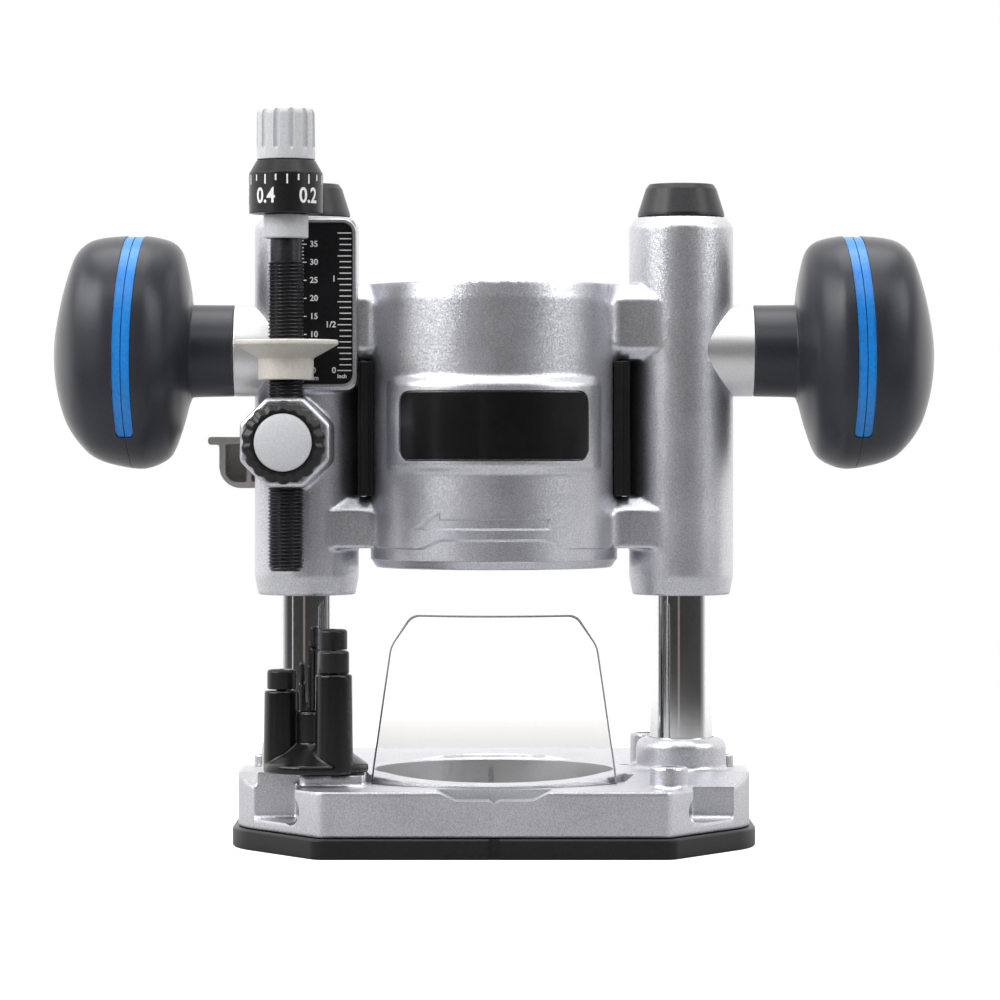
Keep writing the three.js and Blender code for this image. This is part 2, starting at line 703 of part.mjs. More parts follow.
function columnInternals() {
  const springR = 5.4;
  const wireR = 0.9;
  const springTurns = 6;
  const spring = () => coil(springR, wireR, SPRING_FLOOR + FIT, SPRING_ROOF - FIT, springTurns);
  const bush = (z0, z1) => tube(POST_R + FIT, COLUMN_BORE_R - FIT, z0, z1);
  const roof = SPRING_ROOF;
  const plug = () => turned([[0, roof], [10.4, roof], [10.4, 171], [3, 171], [3, 168], [0, 168]], 16);
  return SIDES.flatMap(([side, sign]) => {
    const x = sign * COLUMN_X;
    return [
      named(`bush_${side}_lower`, bush(70.2, 90), BRONZE, x),
      named(`bush_${side}_upper`, bush(117.5, 128), BRONZE, x),
      named(`plunge_spring_${side}`, spring(), SPRING_STEEL, x),
      named(`spring_plug_${side}`, plug(), ZINC_STEEL, x),
      named(`column_cap_${side}`, columnCap(), CAP_RUBBER, x),
    ];
  });
}

// ---------------------------------------------------------------- handles

// Sections of the right handle from its neck outwards: [x, top z, bottom z, half width].
const GRIP_SECTIONS = [
  [72.9, 150.7, 125.1, 12.8], [84.2, 150.8, 124.8, 12.9], [85.2, 157, 123.2, 14],
  [87.4, 165.8, 115.6, 18], [91, 168.8, 107.8, 24], [98.7, 170.1, 104.8, 28.3],
  [106, 169.8, 105.9, 28], [111.5, 168.9, 107.8, 26.5], [116, 165.8, 111.9, 23.5],
  [119.6, 156.9, 117.6, 17.5], [121.8, 148, 124.4, 11], [122.9, 142.4, 130, 5.2],
  [123.3, 138.8, 134.4, 2.2],
];
const GRIP_BAND_HALF = 2.6; // half width of the blue band
const GRIP_BAND_FOOT = 113.5; // the band runs over the top, down to this height on both faces

function gripSection([x, top, bottom, halfWidth], inset) {
  const points = 20;
  const centre = (top + bottom) / 2;
  const tall = (top - bottom) / 2 - inset;
  const wide = halfWidth - inset;
  return Array.from({ length: points }, (_, i) => {
    const angle = (2 * Math.PI * i) / points;
    return new THREE.Vector3(x, wide * Math.cos(angle), centre + tall * Math.sin(angle));
  });
}

function gripBody(inset = 0) {
  return loft(GRIP_SECTIONS.map((section) => gripSection(section, inset)));
}

// The halves of the handle meet in a bowed parting surface; a leaf follows it at a distance.
function partingX(z) {
  return 102.6 - ((z - 134) ** 2) / 480;
}

function leaf(from, to, z0 = 98, z1 = 176) {
  const steps = 7;
  const heights = Array.from({ length: steps + 1 }, (_, i) => z0 + ((z1 - z0) * i) / steps);
  const near = heights.map((z) => [partingX(z) + from, z]);
  const far = heights.map((z) => [partingX(z) + to, z]).reverse();
  return slabY(outlineOf([...near, ...far]), -35, 35);
}

function gripBand(halfWidth, depth, foot) {
  return cut(leaf(-halfWidth, halfWidth, foot), gripBody(depth));
}

function innerShell() {
  const side = overlap(gripBody(), leaf(-70, -SEAT));
  const boltHole = turned([[0, 70], [4.3, 70], [4.3, 92], [7.3, 92], [7.3, 110], [0, 110]], 12);
  return cut(side, gripBand(GRIP_BAND_HALF, 1.8, GRIP_BAND_FOOT), moved(alongX(boltHole), 0, 0, ARM_Z));
}

function outerShell() {
  const side = overlap(gripBody(), leaf(SEAT, 60));
  return cut(side, gripBand(GRIP_BAND_HALF, 1.8, GRIP_BAND_FOOT));
}

function gripInlay() {
  const play = 0.15;
  return overlap(gripBody(), gripBand(GRIP_BAND_HALF - play, 1.6, GRIP_BAND_FOOT + play));
}

function handleBolt() {
  const shank = rodX(4, 65, 93);
  const head = slabX(polygon(6.6, 6), 92.6, 98.6);
  return moved(join(shank, head), 0, 0, ARM_Z);
}

// Every handle piece is drawn for the right side; the left one is its mirror image.
function handles() {
  const pieces = [
    ['bolt', handleBolt(), ZINC_STEEL],
    ['inner_shell', innerShell(), GRIP_RUBBER],
    ['outer_shell', outerShell(), GRIP_RUBBER],
    ['inlay', gripInlay(), BLUE_PLASTIC],
  ];
  return SIDES.flatMap(([side, sign]) => pieces.map(([piece, geometry, material]) => {
    const copy = geometry.clone();
    copy.scale(sign, 1, 1);
    return named(`handle_${side}_${piece}`, copy, material);
  }));
}

// ---------------------------------------------------------------- motor clamp

function clampBolt() {
  const shank = rodX(2.9, -18, 18);
  const eye = block(16.8, 24.6, -4, 4, -2.6, 2.6);
  const pinHole = moved(rod(2.3, -4, 4, 12), CLAMP_PIN_X, 0, 0);
  return cut(join(shank, eye), pinHole);
}

function clampNut() {
  return cut(slabX(polygon(5.8, 6), -17.2, -13.2), rodX(3.2, -20, -10));
}

// A flat bar from one point of the plan to another, with round ends.
function bar([ax, ay], [bx, by], width, z0, z1) {
  const length = Math.hypot(bx - ax, by - ay);
  const beam = block(0, length, -width / 2, width / 2, z0, z1);
  beam.rotateZ(Math.atan2(by - ay, bx - ax));
  return join(moved(beam, ax, ay, 0), moved(rod(width / 2, z0, z1, 12), bx, by, 0));
}

// The lever's cheeks straddle the bolt's eye; its arm follows the ring round to the right.
function clampLever() {
  const hub = [0, 0];
  const knee = [15, -4.6];
  const tip = [26.6, -17];
  const solid = join(rod(7.1, -7.5, 7.5, 20), bar(hub, knee, 6.4, -7.5, 7.5), bar(knee, tip, 5.6, -7.5, 7.5));
  const slot = rod(8.4, -3.1, 3.1, 20);
  const pinHole = rod(2.3, -9, 9, 12);
  return cut(solid, slot, pinHole);
}

function motorClamp() {
  const leverGroup = groupOf(
    named('clamp_lever', clampLever(), BLACK_PLASTIC),
    named('clamp_lever_pin', rod(2, -7.9, 7.9, 12), ZINC_STEEL),
  );
  leverGroup.position.set(CLAMP_PIN_X, 0, 0);
  const group = groupOf(
    named('motor_clamp_bolt', clampBolt(), ZINC_STEEL),
    named('motor_clamp_nut', clampNut(), ZINC_STEEL),
    leverGroup,
  );
  group.position.set(0, CLAMP_Y, CLAMP_Z);
  return group;
}

// ---------------------------------------------------------------- plunge lock

const LEVER_FRONT_Y = 15.5;
const LEVER_BACK_Y = 26;

// A hook-shaped moulding, open to the front, with a flat thumb bar along its top.
function lockLever() {
  const skin = 1.8;
  const outline = rounded([
    [-81.3, 111.5, 0.8], [-78.1, 111.5], [-78.1, 99.2, 6.5],
    [-COLUMN_X, 99.2], [-COLUMN_X, 113.8], [-81.3, 113.8, 0.8],
  ]);
  const hub = moved(rodY(9.5, LEVER_FRONT_Y, LEVER_BACK_Y, 20), -COLUMN_X, 0, LEVER_Z);
  const hole = moved(rodY(4.7, 10, 30), -COLUMN_X, 0, LEVER_Z);
  const hollow = (x0, x1, radius) => {
    const corners = [[x0, 99.2 + skin, radius], [x1, 99.2 + skin], [x1, 111.8], [x0, 111.8]];
    return slabY(rounded(corners), 10, LEVER_BACK_Y - skin);
  };
  const body = join(slabY(outline, LEVER_FRONT_Y, LEVER_BACK_Y), hub);
  return cut(body, hole, hollow(-76.3, -70.3, 4.7), hollow(-68.9, -63.4, 0));
}

function plungeLock() {
  const shoe = rodY(4.6, POST_R + 0.4, 11.2);
  const screw = join(rodY(4.4, 11.4, 27), slabY(polygon(6.6, 6), LEVER_BACK_Y + SEAT, 29.4));
  return [
    named('brake_shoe', shoe, BRONZE, -COLUMN_X, 0, LEVER_Z),
    named('lock_lever', lockLever(), GREY_PLASTIC),
    named('lock_lever_screw', screw, ZINC_STEEL, -COLUMN_X, 0, LEVER_Z),
  ];
}

// ---------------------------------------------------------------- depth rod and its lock

function rodLockKnob() {
  const [back, front] = [LOCK_BOSS_FRONT_Y - 0.4, LOCK_BOSS_FRONT_Y - 10.6];
  const grip = slabY(lobed(11.4, 10.9, 18), front, back);
  const screwHole = rodY(2.8, front - 1, back + 1);
  const capSeat = rodY(8.2, front - 1, front + 2.4, 20);
  return cut(grip, screwHole, capSeat);
}

function rodLockCap() {
  const front = LOCK_BOSS_FRONT_Y - 10.6;
  const back = front + 2.2;
  return alongY(turned([
    [0, front - 0.9], [5.5, front - 0.6], [7.9, front + 0.2], [7.9, back], [0, back],
  ], 20));
}

function rodLock() {
  const screwEnd = LOCK_BOSS_FRONT_Y + 1.6;
  const screw = rodY(2.5, LOCK_BOSS_FRONT_Y - 8, screwEnd);
  const pad = rodY(2.4, screwEnd + 0.2, ROD_Y - ROD_R - 0.25);
  return [
    named('rod_lock_knob', rodLockKnob(), BLACK_PLASTIC, ROD_X, 0, LOCK_Z),
    named('rod_lock_cap', rodLockCap(), GREY_PLASTIC, ROD_X, 0, LOCK_Z),
    named('rod_lock_screw', screw, ZINC_STEEL, ROD_X, 0, LOCK_Z),
    named('rod_pressure_pad', pad, BRONZE, ROD_X, 0, LOCK_Z),
  ];
}

function depthPointer() {
  const dish = turned([
    [5.25, 129.4], [7.7, 129.4], [7.7, 135.4], [14.4, 139.6], [14.4, 140.4], [5.25, 140.4], [5.25, 129.4],
  ], 28);
  const trimY = PAD_FRONT_Y - ROD_Y - 1.2;
  return cut(dish, block(-20, 20, trimY, 20, 125, 145));
}

function depthRod() {
  return turned([
    [0, ROD_BOTTOM], [ROD_R - 0.9, ROD_BOTTOM], [ROD_R, ROD_BOTTOM + 0.9], [ROD_R, 161.6], [4.35, 161.8],
    [4.35, 174.8], [3, 174.8], [3, 200], [0, 200],
  ], 20);
}

function dialRing() {
  return turned([[3.3, 175], [10.1, 175], [10.1, 186], [8, 189.6], [3.3, 189.6], [3.3, 175]], 28);
}

function fineAdjustKnob() {
  const flutes = slabZ(lobed(8, 7.3, 12), 192, 203.3);
  const skirt = rod(8, 189.8, 192, 24);
  const top = turned([[0, 203.2], [7.2, 203.2], [6.6, 204.3], [0, 204.5]], 24);
  return cut(join(flutes, skirt, top), rod(3.3, 189, 200.6, 12));
}

function depthStop() {
  const group = groupOf(
    named('depth_pointer', depthPointer(), CREAM_PLASTIC),
    named('index_collar', tube(4.65, 6.15, 168.2, 174.8), GREY_PLASTIC),
    named('depth_rod', depthRod(), BLACK_STEEL),
    named('dial_ring', dialRing(), BLACK_PLASTIC),
    named('fine_adjust_knob', fineAdjustKnob(), GREY_PLASTIC),
  );
  group.position.set(ROD_X, ROD_Y, 0);
  return group;
}

// ---------------------------------------------------------------- the whole plunge base

const LEFT_RIB_X = -35.9;
const RIGHT_RIB_X = 34.5;

export default groupOf(
  groupOf(
    named('sub_base_plate', subBasePlate(), BLACK_PLASTIC),
    named('base_casting', baseCasting(), CAST_ALUMINIUM),
    ...subBaseScrews(),
    ...guidePosts(),
    named('chip_shield', chipShield(), CLEAR_PLASTIC),
    turretGroup(),
  ),
  groupOf(
    named('motor_housing', motorHousing(), CAST_ALUMINIUM),
    named('nameplate', namePlate(), BLACK_PLASTIC),
    named('depth_scale', depthScale(), BLACK_PLASTIC),
    named('pocket_insert_left', pocketInsert(-1, LEFT_RIB_X), BLACK_PLASTIC),
    named('pocket_insert_right', pocketInsert(1, RIGHT_RIB_X), BLACK_PLASTIC),
    ...columnInternals(),
    ...handles(),
    motorClamp(),
    ...plungeLock(),
    ...rodLock(),
    depthStop(),
  ),
);
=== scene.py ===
# %% [markdown]
# # A plunge router base in Blender
# The object is the plunge base of a compact router: a cast carriage with two handles slides on two chromed
# posts that stand in a cast base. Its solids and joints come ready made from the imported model, which is
# loaded as a fixed frame. This lesson dresses that frame: every piece gets the fine shape and the finish of
# the real one, and rides on the body it belongs to, so that it moves with the joints.

# %% Load the frame
import json
import math
import bmesh
import bpy
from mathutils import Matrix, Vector


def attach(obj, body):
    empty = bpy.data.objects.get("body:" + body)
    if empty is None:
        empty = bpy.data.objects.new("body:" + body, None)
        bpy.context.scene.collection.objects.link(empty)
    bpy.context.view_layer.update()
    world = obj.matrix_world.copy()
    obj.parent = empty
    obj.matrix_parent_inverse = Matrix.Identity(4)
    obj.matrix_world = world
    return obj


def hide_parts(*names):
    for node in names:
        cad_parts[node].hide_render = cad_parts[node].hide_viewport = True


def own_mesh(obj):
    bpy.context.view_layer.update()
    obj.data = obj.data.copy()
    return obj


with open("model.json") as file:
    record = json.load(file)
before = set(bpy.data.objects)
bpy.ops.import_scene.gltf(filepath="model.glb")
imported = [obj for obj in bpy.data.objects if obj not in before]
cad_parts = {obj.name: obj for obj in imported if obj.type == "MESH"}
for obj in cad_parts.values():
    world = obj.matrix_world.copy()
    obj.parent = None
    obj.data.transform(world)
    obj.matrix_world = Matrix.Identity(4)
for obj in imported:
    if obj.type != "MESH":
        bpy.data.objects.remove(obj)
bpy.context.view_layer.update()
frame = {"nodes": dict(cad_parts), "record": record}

scene = bpy.context.scene
node_slot = {row["node"]: row["material_slot"] for row in frame["record"]["subparts"]}
node_body = {
    node: body
    for body, members in frame["record"]["behaviour"]["bodies"].items()
    for node in members
}

# %% [markdown]
# ## Camera
# A product photographer stands well back with a long lens, so that the handles aren't stretched. Here the
# camera is level, 1.23 m away and a little above the middle of the machine. Tilting it down would make the
# posts lean, so the frame is moved with the lens shift instead, as a view camera does.

# %% Camera
camera = bpy.data.objects.new("camera", bpy.data.cameras.new("camera"))
camera.location = (0, -1.230, 0.1129)
camera.rotation_euler = (math.radians(90), 0, 0)
camera.data.sensor_width = 36
camera.data.lens = 157.8
camera.data.shift_x = 0.006
camera.data.shift_y = -0.060
scene.collection.objects.link(camera)
scene.camera = camera
scene.view_settings.view_transform = "Standard"
print("camera at", tuple(camera.location))

# %% [markdown]
# ## Lights
# Bare metal has hardly a colour of its own: what we see is the room. The big soft lights hang above eye
# level, so the satin castings gather them while the chromed posts, which mirror only what stands at their
# own height, don't. A narrow strip light and a warm card stand low, for the two thin stripes on each post.

# %% Lights
def softbox(name, place, aim, width, height, watts, colour=(1, 1, 1)):
    data = bpy.data.lights.new(name, "AREA")
    data.shape = "RECTANGLE"
    data.size, data.size_y, data.energy = width, height, watts
    data.color = colour
    lamp = bpy.data.objects.new(name, data)
    lamp.location = place
    lamp.rotation_euler = (Vector(aim) - Vector(place)).to_track_quat("-Z", "Y").to_euler()
    scene.collection.objects.link(lamp)
    return lamp


middle = (0, 0, 0.1)
softbox("key_light", (-0.90, -0.78, 0.75), middle, 0.4, 0.7, 7.5)
softbox("side_light", (-1.25, -0.35, 0.75), middle, 0.8, 0.7, 9)
softbox("front_light", (0.15, -1.0, 1.15), middle, 1.6, 0.5, 6.5)
softbox("fill_light", (1.25, -0.60, 0.75), middle, 0.7, 0.8, 8.5)
softbox("top_light", (0, 0, 1.15), middle, 1.2, 0.9, 12)
softbox("strip_light", (-1.05, -0.80, 0.15), middle, 0.06, 0.9, 0.15)
softbox("warm_card", (-0.28, -1.70, 0.10), middle, 0.22, 1.5, 0.22, (1.0, 0.75, 0.62))

# %% [markdown]
# ## World
# The world is the room round the machine. A ramp along Y makes it white behind the object and dark where the
# photographer stands, and that is what draws the dark middle of a post. A picture of a real room would do the
# same, but a ramp needs no file and is easy to tune. To the camera itself the world is plain white.

# %% World
def link(tree, *pairs):
    for source, target in pairs:
        tree.links.new(source, target)


world = bpy.data.worlds.new("studio")
scene.world = world
world.use_nodes = True
tree = world.node_tree
tree.nodes.clear()
direction = tree.nodes.new("ShaderNodeTexCoord")
parts = tree.nodes.new("ShaderNodeSeparateXYZ")
room = tree.nodes.new("ShaderNodeValToRGB")
room.color_ramp.elements.remove(room.color_ramp.elements[1])
for place, grey in ((0.34, 0.05), (0.45, 0.24), (0.60, 1.0)):
    room.color_ramp.elements.new(place).color = (grey, grey * 0.985, grey * 0.97, 1)
room.color_ramp.elements[0].color = (0.038, 0.037, 0.036, 1)
front_to_back = tree.nodes.new("ShaderNodeMapRange")
front_to_back.inputs["From Min"].default_value = -1
room_light = tree.nodes.new("ShaderNodeBackground")
room_light.inputs["Strength"].default_value = 1.25
paper = tree.nodes.new("ShaderNodeBackground")
paper.inputs["Color"].default_value = (1, 1, 1, 1)
rays = tree.nodes.new("ShaderNodeLightPath")
choose = tree.nodes.new("ShaderNodeMixShader")
out = tree.nodes.new("ShaderNodeOutputWorld")
link(tree, (direction.outputs["Generated"], parts.inputs[0]),
     (parts.outputs["Y"], front_to_back.inputs["Value"]),
     (front_to_back.outputs["Result"], room.inputs["Fac"]),
     (room.outputs["Color"], room_light.inputs["Color"]), (rays.outputs["Is Camera Ray"], choose.inputs[0]),
     (room_light.outputs[0], choose.inputs[1]), (paper.outputs[0], choose.inputs[2]),
     (choose.outputs[0], out.inputs["Surface"]))
print("world", world.name, "with", len(tree.nodes), "nodes")

# %% [markdown]
# ## Floor
# The floor is a sheet of pale paper. Seen level, its far edge would cut the picture in two, so the paper
# fades into the white world with distance from its own middle, as a seamless studio sweep does. It is
# exposed to white for the camera, while the light that it throws up at the machine stays moderate.

# %% Floor
def paper_floor(radius=2.4, fade_from=0.22, fade_to=0.75):
    mesh = bpy.data.meshes.new("floor")
    sides = 64
    turns = [2 * math.pi * i / sides for i in range(sides)]
    rim = [(radius * math.cos(turn), radius * math.sin(turn), 0) for turn in turns]
    mesh.from_pydata(rim, [], [tuple(range(sides))])
    floor = bpy.data.objects.new("floor", mesh)
    scene.collection.objects.link(floor)
    material = bpy.data.materials.new("paper")
    material.use_nodes = True
    nodes, tree = material.node_tree.nodes, material.node_tree
    place = nodes.new("ShaderNodeTexCoord")
    distance = nodes.new("ShaderNodeVectorMath")
    distance.operation = "LENGTH"
    fade = nodes.new("ShaderNodeMapRange")
    fade.interpolation_type = "SMOOTHSTEP"
    fade.inputs["From Min"].default_value = fade_from
    fade.inputs["From Max"].default_value = fade_to
    clear = nodes.new("ShaderNodeBsdfTransparent")
    mix = nodes.new("ShaderNodeMixShader")
    paper = nodes["Principled BSDF"]
    paper.inputs["Base Color"].default_value = (0.36, 0.36, 0.365, 1)
    paper.inputs["Roughness"].default_value = 0.8
    paper.inputs["Emission Color"].default_value = (1, 1, 1, 1)
    rays = nodes.new("ShaderNodeLightPath")
    lift = nodes.new("ShaderNodeMath")
    lift.operation = "MULTIPLY"
    lift.inputs[1].default_value = 0.95
    link(tree, (place.outputs["Object"], distance.inputs[0]),
         (distance.outputs["Value"], fade.inputs["Value"]), (rays.outputs["Is Camera Ray"], lift.inputs[0]),
         (lift.outputs[0], paper.inputs["Emission Strength"]),
         (fade.outputs["Result"], mix.inputs[0]), (paper.outputs[0], mix.inputs[1]),
         (clear.outputs[0], mix.inputs[2]), (mix.outputs[0], nodes["Material Output"].inputs["Surface"]))
    mesh.materials.append(material)
    return floor


paper_floor()
print("floor laid")

# %% [markdown]
# ## Outlines
# The machine is drawn in millimetres, as its maker would, and each mesh is scaled to metres when it is
# made. Three ways of making a solid cover most of it: turning a profile on a lathe, giving an outline
# thickness, and joining and cutting such solids. Corners are written with a radius, because no moulded or
# machined edge is truly sharp, and a small round edge is what catches the light.

# %% Outlines
MM = 0.001


def add_mesh(name, points, faces):
    mesh = bpy.data.meshes.new(name)
    mesh.from_pydata([(x * MM, y * MM, z * MM) for x, y, z in points], [], faces)
    piece = bpy.data.objects.new(name, mesh)
    scene.collection.objects.link(piece)
    return piece


def rounded(corners, chords=6, closed=True):
    """The outline through corners (u, v) or (u, v, radius), where a radius turns the corner into an arc."""
    line = []
    count = len(corners)
    for i, corner in enumerate(corners):
        here = Vector(corner[:2])
        radius = corner[2] if len(corner) > 2 else 0
        if radius == 0 or (not closed and i in (0, count - 1)):
            line.append(tuple(here))
            continue
        back = Vector(corners[i - 1][:2]) - here
        ahead = Vector(corners[(i + 1) % count][:2]) - here
        half = back.angle(ahead) / 2
        reach = min(radius / math.tan(half), 0.499 * back.length, 0.499 * ahead.length)
        radius = reach * math.tan(half)
        middle = here + (back.normalized() + ahead.normalized()).normalized() * radius / math.sin(half)
        start = here + back.normalized() * reach - middle
        end = here + ahead.normalized() * reach - middle
        sweep = math.atan2(start.x * end.y - start.y * end.x, start.dot(end))
        for k in range(chords + 1):
            turn = sweep * k / chords
            c, s = math.cos(turn), math.sin(turn)
            line.append((middle.x + start.x * c - start.y * s, middle.y + start.x * s + start.y * c))
    return line


print("a rounded square has", len(rounded([(0, 0, 1), (9, 0, 1), (9, 9, 1), (0, 9, 1)])), "points")

# %% [markdown]
# ## Turning
# Most pieces of a router are turned, or could be. A profile of radius and height is swung round Z, one ring
# of points for each of its corners. Points that lie on the axis are shared by a whole ring, so the ends close
# with clean triangles. A profile that returns to its start makes a tube or a ring.

# %% Turning
def turned(name, corners, sides=96, chords=4):
    """A solid of revolution about Z from (radius, height) corners, which may carry an edge radius."""
    closed = corners[0][:2] == corners[-1][:2]
    profile = rounded(corners[:-1] if closed else corners, chords, closed)
    points, rings = [], []
    for r, z in profile:
        if r < 1e-6:
            rings.append([len(points)] * sides)
            points.append((0, 0, z))
            continue
        rings.append(list(range(len(points), len(points) + sides)))
        points += [(r * math.cos(2 * math.pi * i / sides), r * math.sin(2 * math.pi * i / sides), z)
                   for i in range(sides)]
    pairs = list(zip(rings, rings[1:])) + ([(rings[-1], rings[0])] if closed else [])
    faces = []
    for low, high in pairs:
        for i in range(sides):
            j = (i + 1) % sides
            corner = list(dict.fromkeys((low[i], low[j], high[j], high[i])))
            if len(corner) > 2:
                faces.append(tuple(corner))
    piece = add_mesh(name, points, faces)
    outwards(piece)
    return piece


def outwards(piece):
    """Turns every face so that it looks out of the solid."""
    shape = bmesh.new()
    shape.from_mesh(piece.data)
    bmesh.ops.remove_doubles(shape, verts=shape.verts, dist=1e-7)
    bmesh.ops.recalc_face_normals(shape, faces=shape.faces)
    if shape.calc_volume(signed=True) < 0:
        bmesh.ops.reverse_faces(shape, faces=shape.faces)
    shape.to_mesh(piece.data)
    shape.free()


def rod(name, radius, low, high, sides=64, edge=0):
    return turned(name, [(0, low), (radius, low, edge), (radius, high, edge), (0, high)], sides)


print("lathe ready: turned, rod")

# %% [markdown]
# ## Slabs
# The other half of the machine is flat: an outline made thick along one axis. A bevel rounds the rims over.
# Modifiers are settled at once, so that every piece stays a plain mesh that the next tool can work on.

# %% Slabs
AXIS_ORDER = {"z": lambda u, v, t: (u, v, t), "y": lambda u, v, t: (u, t, v), "x": lambda u, v, t: (t, u, v)}


def slab(name, outline, axis, low, high, edge=0, chords=3):
    """An outline made thick along an axis; with an edge radius, both rims are rounded over."""
    place = AXIS_ORDER[axis]
    count = len(outline)
    points = [place(u, v, low) for u, v in outline] + [place(u, v, high) for u, v in outline]
    faces = [tuple(range(count)), tuple(range(2 * count - 1, count - 1, -1))]
    faces += [(i, (i + 1) % count, count + (i + 1) % count, count + i) for i in range(count)]
    piece = add_mesh(name, points, faces)
    outwards(piece)
    if edge:
        soften_edges(piece, edge, chords)
    return piece


def block(name, x0, x1, y0, y1, z0, z1, edge=0):
    return slab(name, [(x0, y0), (x1, y0), (x1, y1), (x0, y1)], "z", z0, z1, edge)


def settle(piece):
    """Applies every modifier on a piece."""
    graph = bpy.context.evaluated_depsgraph_get()
    done = bpy.data.meshes.new_from_object(piece.evaluated_get(graph), depsgraph=graph)
    piece.modifiers.clear()
    rough, piece.data = piece.data, done
    bpy.data.meshes.remove(rough)
    return piece


def soften_edges(piece, radius, chords=3, angle=32):
    bevel = piece.modifiers.new("edge", "BEVEL")
    bevel.width = radius * MM
    bevel.segments = chords
    bevel.limit_method = "ANGLE"
    bevel.angle_limit = math.radians(angle)
    bevel.use_clamp_overlap = True
    return settle(piece)


print("a slab can be made thick along", sorted(AXIS_ORDER))

# %% [markdown]
# ## Joining and cutting
# A boolean joins or cuts two closed solids, as welding and milling do. The tools are thrown away afterwards,
# so only the finished piece is left in the scene. Of Blender's solvers the manifold one is the fastest, and
# it only asks that every solid is closed.

# %% Joining and cutting
SOLVER = "MANIFOLD"


def combine(piece, tools, operation):
    for tool in tools:
        step = piece.modifiers.new("step", "BOOLEAN")
        step.operation = operation
        step.solver = SOLVER
        step.object = tool
    settle(piece)
    for tool in tools:
        bpy.data.objects.remove(tool)
    return piece


def join(piece, *tools):
    return combine(piece, tools, "UNION")


def cut(piece, *tools):
    return combine(piece, tools, "DIFFERENCE")


def keep_inside(piece, tool):
    return combine(piece, [tool], "INTERSECT")


print("joining and cutting by the", SOLVER.lower(), "solver")

# %% [markdown]
# ## Moving and mirroring
# A piece is placed by moving its points, and its object stays at the origin. So all pieces share one set of
# coordinates, tools can be placed before they cut, and textures that read the object's own coordinates run on
# from piece to piece.

# %% Moving and mirroring
def reshape(piece, rule):
    """Moves every point of a piece by a rule that takes and gives x, y, z in millimetres."""
    for vertex in piece.data.vertices:
        x, y, z = rule(*(c / MM for c in vertex.co))
        vertex.co = (x * MM, y * MM, z * MM)
    return piece


def moved(piece, dx=0, dy=0, dz=0):
    return reshape(piece, lambda x, y, z: (x + dx, y + dy, z + dz))


def laid_x(piece):
    """Lays a piece that was turned about Z along X, its top towards +X."""
    return reshape(piece, lambda x, y, z: (z, y, -x))


def laid_y(piece):
    """Lays a piece that was turned about Z along Y, its top towards +Y."""
    return reshape(piece, lambda x, y, z: (x, z, -y))


def mirrored(piece, name):
    """The piece's mirror image on the other side of the machine, under its own name."""
    other = bpy.data.objects.new(name, piece.data.copy())
    other.data.name = name
    scene.collection.objects.link(other)
    reshape(other, lambda x, y, z: (-x, y, z))
    other.data.flip_normals()
    return other


def merged(name, pieces):
    """Several loose shapes as the one mesh of one piece."""
    shape = bmesh.new()
    for piece in pieces:
        shape.from_mesh(piece.data)
        bpy.data.objects.remove(piece)
    mesh = bpy.data.meshes.new(name)
    shape.to_mesh(mesh)
    shape.free()
    whole = bpy.data.objects.new(name, mesh)
    scene.collection.objects.link(whole)
    return whole


print("ready to move: reshape, moved, laid_x, laid_y, mirrored, merged")

# %% [markdown]
# ## Cast skin
# A die casting has no sharp edge anywhere: the melt won't fill one and the die would crack at one. Rather
# than rounding hundreds of edges by hand, the joined solid is rebuilt from small cells with a voxel remesh,
# and the cells are then relaxed. Inner corners fill up and outer ones wear down, as the pattern maker's
# fillets do. Faces that are machined afterwards, such as bores, are cut after this step and stay crisp.

# %% Cast skin
def cast_skin(piece, cell, passes):
    remesh = piece.modifiers.new("cells", "REMESH")
    remesh.mode = "VOXEL"
    remesh.voxel_size = cell * MM
    relax = piece.modifiers.new("relax", "SMOOTH")
    relax.factor = 0.5
    relax.iterations = passes
    return settle(piece)


print("cast skin ready")

# %% [markdown]
# ## Handing a piece over
# A finished piece needs four things: smooth shading that still breaks at real edges, its material, the
# body it rides on, and the solid whose place it takes. The record says which body and which finish slot
# each solid has; the piece takes its body from there, and its material is handed to it.

# %% Handing a piece over
def shade(piece, angle=33):
    piece.data.shade_smooth()
    piece.data.set_sharp_from_angle(angle=math.radians(angle))
    even = piece.modifiers.new("even", "WEIGHTED_NORMAL")
    even.keep_sharp = True
    settle(piece)


def dress(piece, material, node, *more_nodes, angle=33):
    """Gives a piece its finish and puts it in the place of its solids."""
    piece.data.materials.clear()
    piece.data.materials.append(material)
    shade(piece, angle)
    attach(piece, node_body[node])
    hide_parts(node, *more_nodes)
    return piece


def detail(piece, material, node):
    """A piece that is printed on or sunk into another one, and rides with it."""
    piece.data.materials.clear()
    piece.data.materials.append(material)
    shade(piece)
    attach(piece, node_body[node])
    return piece


print(len(node_body), "solids wait for their pieces")

# %% [markdown]
# ## Finishes
# Every finish starts from the same small recipe. A slow noise lets the colour wander between two tones, as
# handling and uneven blasting do, and a fine one roughens the gloss and gives a little relief. What makes
# each finish itself is the size of that grain, in grains to the metre, and how deep it goes. The noise
# reads the piece's own coordinates, so it stays put when the piece moves.

